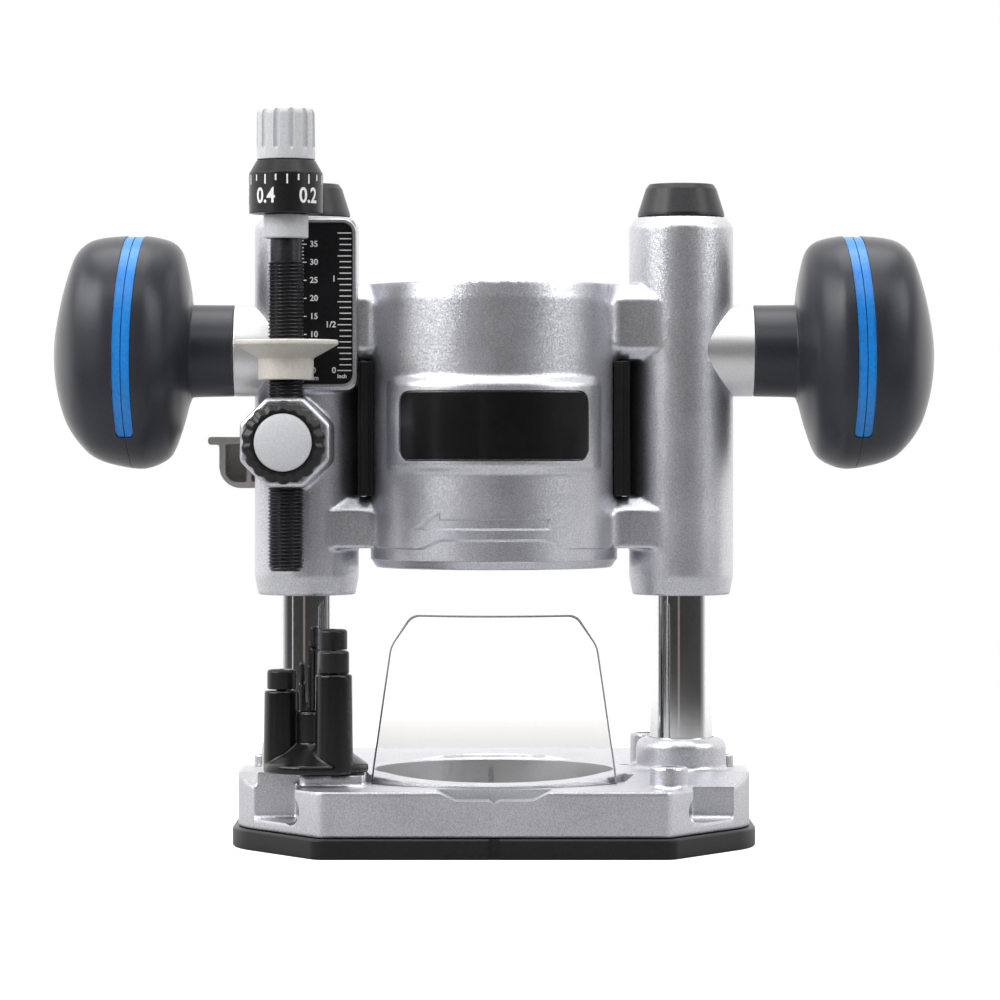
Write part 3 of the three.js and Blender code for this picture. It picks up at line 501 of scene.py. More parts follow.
# %% The common recipe
def finish(name, light, dark, rough, rough_swing=0.06, metal=0.0, grain=1800, depth=0.0, blotch=45, **shader):
    material = bpy.data.materials.new(name)
    material.use_nodes = True
    nodes, tree = material.node_tree.nodes, material.node_tree
    skin = nodes["Principled BSDF"]
    place = nodes.new("ShaderNodeTexCoord")
    slow, fine = nodes.new("ShaderNodeTexNoise"), nodes.new("ShaderNodeTexNoise")
    slow.inputs["Scale"].default_value = blotch
    slow.inputs["Detail"].default_value = 3
    fine.inputs["Scale"].default_value = grain
    fine.inputs["Detail"].default_value = 2
    both = nodes.new("ShaderNodeMath")
    both.operation = "MULTIPLY_ADD"
    both.inputs[1].default_value = 0.5
    tone = nodes.new("ShaderNodeValToRGB")
    tone.color_ramp.elements[0].position = 0.5
    tone.color_ramp.elements[0].color = (*dark, 1)
    tone.color_ramp.elements[1].position = 1.0
    tone.color_ramp.elements[1].color = (*light, 1)
    gloss = nodes.new("ShaderNodeMapRange")
    gloss.inputs["To Min"].default_value = rough - rough_swing
    gloss.inputs["To Max"].default_value = rough + rough_swing
    link(tree, (place.outputs["Object"], slow.inputs["Vector"]),
         (place.outputs["Object"], fine.inputs["Vector"]),
         (slow.outputs["Fac"], both.inputs[0]), (fine.outputs["Fac"], both.inputs[2]),
         (both.outputs[0], tone.inputs["Fac"]), (tone.outputs["Color"], skin.inputs["Base Color"]),
         (slow.outputs["Fac"], gloss.inputs["Value"]), (gloss.outputs["Result"], skin.inputs["Roughness"]))
    if depth:
        relief = nodes.new("ShaderNodeBump")
        relief.inputs["Distance"].default_value = depth * MM
        link(tree, (fine.outputs["Fac"], relief.inputs["Height"]),
             (relief.outputs["Normal"], skin.inputs["Normal"]))
    skin.inputs["Metallic"].default_value = metal
    for socket, value in shader.items():
        skin.inputs[socket.replace("_", " ")].default_value = value
    return material


print(len(bpy.data.materials), "materials before the first finish")

# %% [markdown]
# ## Blasted aluminium
# The castings are blasted with fine beads, which leaves thousands of tiny dents that each face a little
# another way. Under a soft light that reads as a fine salt and pepper. A bump map smooths such grains out at
# this distance, so each cell of a Voronoi pattern gets its own small tilt, added straight to the surface
# normal, and a fine noise makes the colour a little lighter or darker from grain to grain.

# %% Blasted and machined aluminium
def pepper(material, grain, low, high):
    """Makes the colour lighter or darker from grain to grain."""
    nodes, tree = material.node_tree.nodes, material.node_tree
    colour = nodes["Principled BSDF"].inputs["Base Color"]
    smooth = colour.links[0].from_socket
    place, noise = nodes.new("ShaderNodeTexCoord"), nodes.new("ShaderNodeTexNoise")
    noise.inputs["Scale"].default_value = grain
    noise.inputs["Detail"].default_value = 1
    share = nodes.new("ShaderNodeMapRange")
    for socket, value in (("From Min", 0.3), ("From Max", 0.7), ("To Min", low), ("To Max", high)):
        share.inputs[socket].default_value = value
    scaled = nodes.new("ShaderNodeVectorMath")
    scaled.operation = "SCALE"
    link(tree, (place.outputs["Object"], noise.inputs["Vector"]),
         (noise.outputs["Fac"], share.inputs["Value"]), (smooth, scaled.inputs[0]),
         (share.outputs["Result"], scaled.inputs["Scale"]), (scaled.outputs[0], colour))
    return material


def sparkle(material, cells, tilt):
    """Tilts the surface a little differently in every cell of a fine pattern."""
    nodes, tree = material.node_tree.nodes, material.node_tree
    skin = nodes["Principled BSDF"]
    place, dents = nodes.new("ShaderNodeTexCoord"), nodes.new("ShaderNodeTexVoronoi")
    dents.inputs["Scale"].default_value = cells
    centred, small, add = (nodes.new("ShaderNodeVectorMath") for _ in range(3))
    centred.operation = "SUBTRACT"
    centred.inputs[1].default_value = (0.5, 0.5, 0.5)
    small.operation = "SCALE"
    small.inputs["Scale"].default_value = tilt
    face = nodes.new("ShaderNodeNewGeometry")
    unit = nodes.new("ShaderNodeVectorMath")
    unit.operation = "NORMALIZE"
    link(tree, (place.outputs["Object"], dents.inputs["Vector"]), (dents.outputs["Color"], centred.inputs[0]),
         (centred.outputs[0], small.inputs[0]), (small.outputs[0], add.inputs[0]),
         (face.outputs["Normal"], add.inputs[1]), (add.outputs[0], unit.inputs[0]),
         (unit.outputs[0], skin.inputs["Normal"]))
    return material


blasted = finish("blasted_aluminium", (0.69, 0.695, 0.735), (0.57, 0.575, 0.615), 0.40, 0.05, 1.0, 2600,
                 blotch=60)
sparkle(pepper(blasted, 3000, 0.80, 1.14), cells=3600, tilt=0.10)
turned_alu = finish("turned_aluminium", (0.74, 0.74, 0.75), (0.64, 0.64, 0.65), 0.42, 0.04, 1.0, 2400, 0.01)
machined = finish("machined_aluminium", (0.80, 0.80, 0.81), (0.70, 0.70, 0.71), 0.24, 0.05, 1.0, 1400, 0.01)
print("aluminium:", blasted.name, machined.name)

# %% [markdown]
# ## Steel, chrome and bronze
# Chrome is nearly a mirror, and only its faint smears show that it isn't one. Zinc plating is duller with
# a cloudy bloom. Black oxide keeps the metal's shine under a dark film, so it stays metallic but dark.

# %% Steel, chrome and bronze
chrome = finish("hard_chrome", (0.86, 0.865, 0.88), (0.78, 0.785, 0.80), 0.07, 0.035, 1.0, 900, blotch=70)
zinc = finish("zinc_plate", (0.72, 0.73, 0.74), (0.52, 0.53, 0.54), 0.30, 0.08, 1.0, 1500, 0.01)
spring_wire = finish("oiled_spring_wire", (0.42, 0.42, 0.44), (0.26, 0.26, 0.28), 0.30, 0.08, 1.0, 1500, 0.01)
black_oxide = finish("black_oxide", (0.060, 0.058, 0.062), (0.030, 0.029, 0.032), 0.33, 0.06, 0.7, 1600,
                     0.012)
bronze = finish("sintered_bronze", (0.62, 0.42, 0.20), (0.38, 0.25, 0.12), 0.42, 0.06, 1.0, 2200, 0.02)
print("metals:", chrome.name, zinc.name, spring_wire.name, black_oxide.name, bronze.name)

# %% [markdown]
# ## Plastics and rubber
# A moulded part copies its mould: spark-eroded moulds give the fine matt grain of the levers, and polished
# ones give the hard gloss of the turret. Rubber scatters light from its skin, which a little sheen copies.
# The clear shield is a real thick sheet, so light bends in it; the grey of its rim is painted shade.

# %% Plastics and rubber
phenolic = finish("black_phenolic", (0.011, 0.0105, 0.012), (0.006, 0.006, 0.007), 0.36, 0.08, grain=1500,
                  depth=0.02, Specular_IOR_Level=0.3)
gloss_black = finish("gloss_black_nylon", (0.007, 0.007, 0.0075), (0.004, 0.004, 0.0045), 0.22, 0.05,
                     grain=700, depth=0.006, Specular_IOR_Level=0.4)
satin_black = finish("satin_black_plastic", (0.013, 0.013, 0.0145), (0.007, 0.007, 0.008), 0.33, 0.06,
                     grain=1700, depth=0.014, Specular_IOR_Level=0.35)
printed_black = finish("printed_black_sheet", (0.010, 0.010, 0.012), (0.006, 0.006, 0.0075), 0.30, 0.04,
                       grain=900, Specular_IOR_Level=0.25)
cap_rubber = finish("cap_rubber", (0.017, 0.017, 0.020), (0.008, 0.008, 0.010), 0.36, 0.08, grain=900,
                    depth=0.015, Sheen_Weight=0.08, Specular_IOR_Level=0.35)
grip_rubber = finish("grip_rubber", (0.025, 0.0275, 0.036), (0.017, 0.0185, 0.025), 0.36, 0.05, grain=2400,
                     depth=0.02, Sheen_Weight=0.30, Sheen_Roughness=0.25, Specular_IOR_Level=0.4)
inlay_blue = finish("inlay_blue", (0.012, 0.23, 0.66), (0.007, 0.15, 0.50), 0.34, 0.05, grain=1200,
                    depth=0.01)
grey_plastic = finish("light_grey_plastic", (0.56, 0.57, 0.585), (0.46, 0.47, 0.485), 0.42, 0.05, grain=1600,
                      depth=0.012)
lever_grey = finish("lever_grey_plastic", (0.60, 0.58, 0.55), (0.48, 0.465, 0.44), 0.45, 0.05, grain=1600,
                    depth=0.012)
cream_plastic = finish("cream_plastic", (0.66, 0.63, 0.57), (0.56, 0.535, 0.485), 0.40, 0.05, grain=1300,
                       depth=0.01)
print_white = finish("print_white", (0.86, 0.86, 0.86), (0.70, 0.70, 0.70), 0.5, 0.05, grain=1400)


def clear_sheet():
    """Clear polycarbonate that lets its own shadow through, as a thin sheet does."""
    material = finish("clear_polycarbonate", (1.0, 1.0, 1.0), (0.985, 0.99, 0.99), 0.03, 0.015, grain=500,
                      Transmission_Weight=1.0, IOR=1.25, Specular_IOR_Level=0.3)
    nodes, tree = material.node_tree.nodes, material.node_tree
    rays, pass_light = nodes.new("ShaderNodeLightPath"), nodes.new("ShaderNodeBsdfTransparent")
    mix = nodes.new("ShaderNodeMixShader")
    link(tree, (rays.outputs["Is Shadow Ray"], mix.inputs[0]),
         (nodes["Principled BSDF"].outputs[0], mix.inputs[1]), (pass_light.outputs[0], mix.inputs[2]),
         (mix.outputs[0], nodes["Material Output"].inputs["Surface"]))
    return material


clear_plastic = clear_sheet()
# painted shade: an opaque grey finish for the shield's rim faces, standing in for the light a real sheet
# spends there
shield_rim_painted_shade = finish("polycarbonate_rim_painted_shade", (0.27, 0.275, 0.29), (0.17, 0.175, 0.185), 0.25, 0.05, grain=900)
print(len(bpy.data.materials), "materials in the file")

# %% [markdown]
# ## Sub-base
# The router slides on this black phenolic plate. It is stamped from sheet, with slanted corners in front and
# round ones behind, and its rims are broken all round so that it doesn't catch on the work. One outline
# function serves the plate and the casting on it, which is drawn in by a small step.

# %% Sub-base plate
FRONT_Y, FRONT_X = 53.0, 48.2
SIDE_X, SIDE_Y = 72.8, 17.0
SUB_BASE_TOP = 5.6


def footprint(inset):
    run, rise = SIDE_X - FRONT_X, FRONT_Y - SIDE_Y
    slant = math.hypot(run, rise)
    fx, fy = FRONT_X - inset * (slant - run) / rise, FRONT_Y - inset
    sx, sy = SIDE_X - inset, SIDE_Y - inset * (slant - rise) / run
    right = [(fx, -fy, 5 - inset), (sx, -sy, 30 - inset), (sx, fy, 18 - inset)]
    left = [(-x, y, r) for x, y, r in reversed(right)]
    return rounded(right + left, 12)


SCREW_PLACES = [(x, y) for y in (-47.3, 47.3) for x in (-30, 30)]

plate = slab("sub_base", footprint(0), "z", 0, SUB_BASE_TOP, edge=0.7)
countersink = [(0, -1), (4.2, -1), (4.2, 0.8), (2.3, 3.1), (2.3, 7), (0, 7)]
cut(plate, rod("opening", 25, -1, 7, 128), block("notch", -1.5, 1.5, -54, -FRONT_Y + 0.8, -1, 7),
    *(moved(turned("hole", countersink, 32), x, y) for x, y in SCREW_PLACES))
dress(plate, phenolic, "sub_base_plate")
print("sub-base", len(plate.data.polygons), "faces")

# %% [markdown]
# ## Base casting, rough
# The casting is a thin flange with two thick blocks, low cheeks at the sides, a deck round the cutter
# opening, a ridge behind it, a ledge for the turret and round bosses for the posts and screws. Each is a
# plain solid on its own, and they are joined first so that the cast skin can run over all of them at once.

# %% Base casting, rough
FOOT = SUB_BASE_TOP + 0.1
BLOCK_TOP, DECK_TOP, BOSS_TOP = 18.3, 20.8, 29.7
POST_X, GUIDE_BOSS_X, GUIDE_ROD_Y = 52.5, 47.5, 39.5
REAR_BOSS = (43.7, 17)
TURRET = (-48.8, -26.6)

body = slab("cast_base", footprint(1.6), "z", FOOT, 8.8)
for y0, y1 in ((-60, -24), (24, 60)):
    span = block("span", -54, 54, y0, y1, 0, 30)
    join(body, keep_inside(slab("thick_block", footprint(1.6), "z", FOOT, BLOCK_TOP), span))
side_view = [(-24, FOOT), (-24, 17.6), (-13, DECK_TOP), (13, DECK_TOP), (24, 17.6), (24, FOOT)]
cheeks = slab("cheeks", footprint(1.6), "z", FOOT, DECK_TOP)
join(body, keep_inside(cheeks, slab("side_view", side_view, "x", -SIDE_X, SIDE_X)))
rear_view = [(20, FOOT), (20, 20.5), (38, 22.6), (53, 23.1), (53, FOOT)]
ridge = cut(slab("rear_view", rear_view, "x", -44, 44), rod("stand_back", 36, 0, 30, 128))
join(body, keep_inside(slab("ridge", footprint(1.6), "z", FOOT, 25), ridge))
deck = rod("deck", 39.2, FOOT, DECK_TOP, 128)
slope = [(-45, FOOT), (-45, 18.4), (-16, DECK_TOP), (45, DECK_TOP), (45, FOOT)]
join(body, keep_inside(deck, slab("slope", slope, "x", -45, 45)))
ledge = rounded([(-65.4, -14), (-65.4, -24), (-53, -24), (-53, -37.5, 2), (-35.2, -36.5, 1), (-35.2, -14)])
join(body, slab("ledge", ledge, "z", FOOT, 21.5))
boss = [(0, 8), (12.6, 8), (12.6, BOSS_TOP, 2.8), (0, BOSS_TOP)]
join(body, *(moved(turned("post_boss", boss, 96, 8), x) for x in (-POST_X, POST_X)))
guide_boss_places = [(GUIDE_BOSS_X, -GUIDE_ROD_Y), (GUIDE_BOSS_X, GUIDE_ROD_Y)]
join(body, *(moved(rod("guide_boss", 5.15, 8, 24.2, 48), x, y) for x, y in guide_boss_places))
join(body, moved(rod("rear_boss", 5, 8, BOSS_TOP, 48), *REAR_BOSS))
print("rough base", len(body.data.polygons), "faces")

# %% [markdown]
# ## Base casting, skinned and machined
# After the skin come the cutters: the bore for the tool, the posts' bores, the guide rods' bores through both
# blocks, the slot that the clear shield stands in, and the shallow V of the front recess, which marks the
# middle of the cut. The faces that a cutter has touched get brighter finishes: one for the milled underside,
# one for the turned opening.

# %% Base casting, skinned and machined
GUIDE_ROD_Z = 12.2
SHIELD_R = (39.5, 41.3)
STOP_RING_R = 9.4
OPENING_R = 33.5
POST_SCREW = (65.2, 8.6)


def ring(name, inner, outer, low, high, sides=128):
    return turned(name, [(inner, low), (outer, low), (outer, high), (inner, high), (inner, low)], sides)


def second_finish(piece, material, rule):
    """Gives another finish to the faces whose middle, in millimetres, the rule picks."""
    piece.data.materials.append(material)
    for face in piece.data.polygons:
        if rule(*(c / MM for c in face.center)):
            face.material_index = len(piece.data.materials) - 1


cast_skin(body, 0.5, 4)
SIDES = (-1, 1)
NOTCHES = ((20.4, 28.6), (30, 33.3))
recess = [(-16.6, 19.4), (-15.7, BLOCK_TOP), (-10.4, 15.7), (-1.4, 15.7), (0, 14.6),
          (1.4, 15.7), (10.4, 15.7), (15.7, BLOCK_TOP), (16.6, 19.4)]
slot = ring("shield_slot", SHIELD_R[0] - 0.3, SHIELD_R[1] + 0.3, BLOCK_TOP, 24)
cut(slot, block("behind", -50, 50, -15, 50, 0, 30))
cut(body, rod("opening", OPENING_R, 0, 30, 128),
    slab("recess", recess, "y", -60, -43), slot,
    moved(rod("rear_hole", 3.3, 18, 31, 48), *REAR_BOSS), moved(rod("sweep", 15.4, 21.5, 30), *TURRET),
    moved(rod("pivot_bore", 3.3, 10, 22, 32), *TURRET),
    block("key_slot", -1.6, -0.1, 30, 35.2, 12, 18.6),
    *(block("notch", *sorted((sign * x0, sign * x1)), 49.4, 52, 22.1, 24)
      for sign in SIDES for x0, x1 in NOTCHES),
    *(moved(laid_x(rod("guide_bore", 4, -80, 80, 48)), 0, sign * GUIDE_ROD_Y, GUIDE_ROD_Z) for sign in SIDES),
    *(moved(rod("guide_screw", 2.6, GUIDE_ROD_Z, 25, 32), GUIDE_BOSS_X, sign * GUIDE_ROD_Y)
      for sign in SIDES),
    *(moved(rod("post_bore", 9.05, 5, 30), sign * POST_X) for sign in SIDES),
    *(moved(rod("clamp_hole", 1.8, 11.5, 22, 24), sign * POST_SCREW[0], POST_SCREW[1]) for sign in SIDES),
    *(moved(rod("screw_hole", 2.3, 5, 16, 24), x, y) for x, y in SCREW_PLACES))
dress(body, blasted, "base_casting")
second_finish(body, machined, lambda x, y, z: z < FOOT + 0.02)
second_finish(body, turned_alu, lambda x, y, z: math.hypot(x, y) < OPENING_R + 0.1)
print("base casting", len(body.data.polygons), "faces")

# %% [markdown]
# ## Posts and other turned parts of the base
# The posts are ground bar, hard-chromed, with a groove near the top for the ring that stops the carriage.
# They are hollow above, where the springs stand. The small screws beside them clamp them in the casting.

# %% Posts, rings and screws
POST_R = 8.75
post_profile = [
    (0, 6), (POST_R, 6, 0.5), (POST_R, 128), (POST_R - 0.75, 128), (POST_R - 0.75, 129.8), (POST_R, 129.8),
    (POST_R, 132, 0.6), (7, 132, 0.4), (7, 60), (0, 60),
]


def hexagon(radius, across=0, up=0):
    """Six corners round a centre, as an outline."""
    corners = [math.radians(60 * i) for i in range(6)]
    return [(across + radius * math.cos(turn), up + radius * math.sin(turn)) for turn in corners]


clamp_screw = [(0, 12), (1.5, 12), (1.5, 20.9), (2.5, 20.9, 0.2), (2.5, 24.1, 0.5), (0, 24.1)]
for side, x in (("left", -POST_X), ("right", POST_X)):
    dress(moved(turned(f"post_{side}", post_profile, 160), x), chrome, f"guide_post_{side}")
    stop_ring = ring(f"stop_ring_{side}", 8.2, 10.3, 128.15, 129.65, 64)
    dress(moved(stop_ring, x), spring_wire, f"post_stop_ring_{side}")
    head = turned(f"clamp_screw_{side}", clamp_screw, 48)
    socket = slab("socket", hexagon(1.3), "z", 22.4, 25)
    moved(cut(head, socket), math.copysign(POST_SCREW[0], x), POST_SCREW[1])
    dress(head, zinc, f"post_clamp_screw_{side}")
print("posts", 2 * POST_R, "mm across and", 2 * POST_X, "mm apart")

# %% [markdown]
# ## Screws under the sub-base
# Four countersunk screws with a cross recess hold the plate to the casting. They are seen only when the base
# is turned over, but a hand does that at every change of cutter.

# %% Screws under the sub-base
def cross_recess(width, reach, low, high):
    arms = [block("arm", -reach, reach, -width / 2, width / 2, low, high),
            block("arm", -width / 2, width / 2, -reach, reach, low, high)]
    return join(*arms)


for (x, y), place in zip(SCREW_PLACES, ("front_left", "front_right", "back_left", "back_right")):
    profile = [(0, 0.6), (3.9, 0.6, 0.15), (3.9, 0.9), (2, 2.9), (2, 15.5, 0.4), (0, 15.5)]
    screw = cut(turned(f"countersunk_{place}", profile, 48), cross_recess(0.8, 2, 0, 1.9))
    dress(moved(screw, x, y), black_oxide, f"sub_base_screw_{place}")
print("screws under the sub-base at", SCREW_PLACES)

# %% [markdown]
# ## Clear chip shield
# The shield is a bent sheet of clear polycarbonate that keeps chips off the user. It is cut from a tube's
# wall by its front outline, with shoulders that lean in and rounded tips. Its rim is the part one sees most:
# in a real sheet, light that enters runs along inside it and is spent at the rim, which looks grey. Here that
# grey is painted shade, an opaque grey finish on the rim faces. The rim is stepped, as the outer half of the
# sheet is cut a little smaller all round.

# %% Clear chip shield
SHIELD_Z = (18.5, 65.2)
STEP_R = 40.7


def shield_view(inset):
    right = [(34 - inset, 17.5), (33.2 - inset, 24), (28.4 - inset, 56.3, 8),
             (22.6 - inset, SHIELD_Z[1] - inset, 4)]
    left = [(-x, z, *r) for x, z, *r in reversed(right)]
    return slab("shield_view", rounded(right + left, 8), "y", -50, -5)


shield = keep_inside(ring("clear_shield", SHIELD_R[0], STEP_R, *SHIELD_Z, 256), shield_view(0))
join(shield, keep_inside(ring("outer_half", STEP_R - 0.05, SHIELD_R[1], *SHIELD_Z, 256), shield_view(0.5)))
dress(shield, clear_plastic, "chip_shield", angle=30)
# the rim faces get the grey painted shade
second_finish(shield, shield_rim_painted_shade, lambda x, y, z: SHIELD_R[0] + 0.05 < math.hypot(x, y) < SHIELD_R[1] - 0.05)
print("shield", len(shield.data.polygons), "faces")

# %% [markdown]
# ## Stop turret
# Three posts of different heights stand on a round foot. Turning the turret brings another one under the
# depth rod, so that three depths can be set beforehand. It is one glossy nylon moulding, so its solids are
# joined and skinned with finer cells than the castings. A broad cross-recessed screw tops each post.

# %% Stop turret
STOPS = [
    ("low", 183, 4.8, 44.2, 4.05, 50.0),
    ("mid", 303, 5.0, 49.0, 4.2, 55.5),
    ("high", 63, 4.4, 54.6, 4.0, 60.6),
]
TURRET_Z = 21.9


def stop_place(angle):
    return (TURRET[0] + STOP_RING_R * math.cos(math.radians(angle)),
            TURRET[1] + STOP_RING_R * math.sin(math.radians(angle)))


turret_profile = [(0, TURRET_Z), (14.3, TURRET_Z, 0.6), (14.3, 24, 0.8), (6.3, 29.7), (6.3, 38.4, 0.4),
                  (0, 38.4)]
turret = moved(turned("turret", turret_profile, 96), *TURRET)
for height, angle, post_r, post_top, _, _ in STOPS:
    profile = [(0, TURRET_Z), (post_r + 0.3, TURRET_Z), (post_r, post_top, 0.5), (0, post_top)]
    join(turret, moved(turned("stop_post", profile, 64), *stop_place(angle)))
cast_skin(turret, 0.3, 2)
pivot_bore = turned("bore", [(0, 20), (3.3, 20), (3.3, 34.4), (4.6, 34.4), (4.6, 40), (0, 40)], 64)
cut(turret, moved(pivot_bore, *TURRET),
    *(moved(rod("bore", 1.9, top - 12, top + 1, 32), *stop_place(angle)) for _, angle, _, top, _, _ in STOPS))
dress(turret, gloss_black, "stop_turret")

pivot = turned("turret_pivot", [(0, 11), (3, 11), (3, 34.6), (4.3, 34.6), (4.3, 37.6, 0.5), (0, 37.6)], 64)
cut(pivot, cross_recess(0.9, 2.2, 36, 38))
dress(moved(pivot, *TURRET), zinc, "turret_pivot_screw")

for height, angle, _, post_top, cap_r, cap_top in STOPS:
    foot = post_top + 0.4
    profile = [(0, post_top - 10), (1.55, post_top - 10), (1.55, foot), (cap_r, foot, 0.3),
               (cap_r, cap_top, 0.9), (0, cap_top)]
    cap = cut(turned(f"stop_cap_{height}", profile, 64), cross_recess(1.2, 2.4, cap_top - 1.2, cap_top + 1))
    dress(moved(cap, *stop_place(angle)), satin_black, f"stop_screw_{height}")
print("turret with stops at", [stop[1] for stop in STOPS], "degrees")

# %% [markdown]
# ## Carriage casting, soft stage
# The carriage is one casting: a ring that clamps the motor, two columns that slide on the posts, and webs
# between them. Where a web meets a round form the pattern has a generous fillet. Those big fillets come
# first: ring, columns and two walls are joined, rebuilt from coarse cells and relaxed for a long time. That
# wears the round forms down a little, so they are joined on once more at their true size.

# %% Carriage casting, soft stage
COLUMN_R, RING_R, BULGE_R, MOTOR_R = 14.6, 35.2, 36.6, 31.75
RING_BOTTOM, RING_TOP, WEB_BOTTOM = 77.3, 156.3, 82.8
WEB_Y = -12.8
PAD_Y = -15.2
ROD = (-57.1, -26.6)
LOCK_Z, LEVER_Z, ARM_Z = 112.2, 112.0, 137.9
CLAMP_Y, CLAMP_Z = 41, 121


def round_forms():
    columns = [moved(rod("column", COLUMN_R, 60, 190, 192), x) for x in (-POST_X, POST_X)]
    return [rod("cast_carriage", RING_R, 60, 170, 320)] + columns


housing = join(*round_forms())
join(housing, *(block("wall", *sorted((sign * 25, sign * 46)), WEB_Y, -WEB_Y, 60, 170) for sign in (-1, 1)))
cast_skin(housing, 1.0, 40)
join(housing, *round_forms())
print("soft stage", len(housing.data.polygons), "faces")

# %% [markdown]
# ## Carriage casting, trimmed
# The walls are now cut down to webs with clear slanted edges, by tools that leave ring and columns alone.
# Ring and columns are trimmed to their profiles, each by what is left outside a turned form.

# %% Carriage casting, trimmed
def beside_forms(outline, sign):
    """A tool between the ring and one column, from an outline of (y, z) points."""
    tool = slab("gap", outline, "x", *sorted((sign * 28, sign * 51)))
    column = moved(rod("column", COLUMN_R, 50, 200, 192), sign * POST_X)
    return cut(tool, rod("ring", RING_R, 50, 200, 320), column)


def trim(profile, reach, low, high, x=0):
    """What is left outside a turned profile, as a tool that trims a round form down to it."""
    return moved(cut(rod("stock", reach, low, high, 192), turned("form", profile, 192)), x)


window = [(-18, 88.3), (-9.3, 97), (9.3, 97), (18, 88.3),
          (18, 143.8), (9.8, 135.1), (-9.8, 135.1), (-18, 143.8)]
above_web = [(-18, 146.7), (-9.2, 156), (9.2, 156), (18, 146.7), (18, 175), (-18, 175)]
below_web = [(-20, 50), (20, 50), (20, WEB_BOTTOM), (-20, WEB_BOTTOM)]
for sign in (-1, 1):
    cut(housing, *(beside_forms(outline, sign) for outline in (window, above_web, below_web)))
top_end = [(0, 160), (COLUMN_R, 160), (COLUMN_R, 172.6, 1), (12.5, 175.3, 0.4), (0, 175.3)]
low_end = [(0, 69.6), (13.6, 69.6, 0.4), (COLUMN_R, 74.9, 1), (COLUMN_R, 85), (0, 85)]
for x in (-POST_X, POST_X):
    cut(housing, trim(top_end, 19, 170.5, 195, x), trim(low_end, 19, 55, 76.5, x))
rough_top = RING_TOP + 0.3
ring_edge = [(0, 140), (RING_R, 140), (RING_R, 151.8, 4), (RING_R - 0.45, rough_top, 0.2), (0, rough_top)]
cut(housing, rod("below_ring", 37.4, 50, RING_BOTTOM + 2.7, 128), rod("above_ring", 37, rough_top, 180, 128))
for sign in (-1, 1):
    front_or_back = block("face", -32, 32, *sorted((sign * 13, sign * 40)), 150, 160)
    cut(housing, keep_inside(trim(ring_edge, 37, 150, 160), front_or_back))
print("trimmed", len(housing.data.polygons), "faces")

# %% [markdown]
# ## Carriage casting, firm stage
# The raised band for the plate, whose rise fades towards the sides, the pad behind the depth scale, the
# eight-sided boss of the rod lock, the clamp's ears and the lever's boss are joined on, and a second, finer
# skin runs over everything.

# %% Carriage casting, firm stage
def faded(x, y, z):
    """Lets the band's rise die away between 47 and 63 degrees from the front."""
    r, turn = math.hypot(x, y), math.degrees(math.atan2(abs(x), -y))
    share = min(max((63 - turn) / 16, 0), 1)
    keep = share * share * (3 - 2 * share)
    r_new = RING_R - 0.6 + (r - RING_R + 0.6) * keep if r > RING_R - 0.6 else r
    return (x * r_new / r, y * r_new / r, z) if r else (x, y, z)


bulge = turned("bulge", [(0, 103.2), (RING_R - 0.6, 103.2, 0.6), (BULGE_R, 105.6, 1.6), (BULGE_R, 128.2, 2.5),
                         (RING_R - 0.6, 131.6, 1), (0, 131.6)], 320, 8)
reshape(bulge, faded)
skirt = turned("skirt", [(0, RING_BOTTOM), (32.9, RING_BOTTOM), (34.6, 80, 0.6), (34.6, 90), (0, 90)], 320)
pad = slab("pad", rounded([(-60.6, 126.6, 3), (-38, 126.6, 3), (-38, 174.6, 3), (-60.6, 174.6, 3)]),
           "y", PAD_Y, -4)
corner_r = 12.3 / math.cos(math.pi / 8)
corner_turns = [math.radians(22.5 + 45 * i) for i in range(8)]
eight = [(ROD[0] + corner_r * math.cos(turn), LOCK_Z + corner_r * math.sin(turn)) for turn in corner_turns]
lock_boss = slab("lock_boss", eight, "y", -35, -4, edge=0.9)
ears = slab("ears", rounded([(28, 107), (47, 107, 5), (47, 135, 5), (28, 135)]), "x", -13, 13, edge=0.6)
lever_boss = moved(laid_y(rod("lever_boss", 8, 4, 15.2, edge=0.5)), -POST_X, 0, LEVER_Z)
join(housing, skirt, bulge, pad, lock_boss, ears, lever_boss)
cast_skin(housing, 0.5, 3)
print("firm stage", len(housing.data.polygons), "faces")

# %% [markdown]
# ## A tool for sunk shapes
# Shapes sunk in the ring have slanted walls, as every die needs to let the casting go, and those slants draw
# the bright and dark lines round them. Such a tool is drawn flat, with a smaller outline at its floor than
# at the surface, sliced into narrow strips and bent round the ring.

# %% A tool for sunk shapes
def spread(outline, by):
    """An outline, given anticlockwise, with every side moved outwards by the same distance."""
    moved_line = []
    for i, corner in enumerate(outline):
        before, here, after = Vector(outline[i - 1]), Vector(corner), Vector(outline[(i + 1) % len(outline)])
        into, out = (here - before).normalized(), (after - here).normalized()
        first, second = Vector((into.y, -into.x)), Vector((out.y, -out.x))
        moved_line.append(tuple(here + (first + second) * by / (1 + first.dot(second))))
    return moved_line


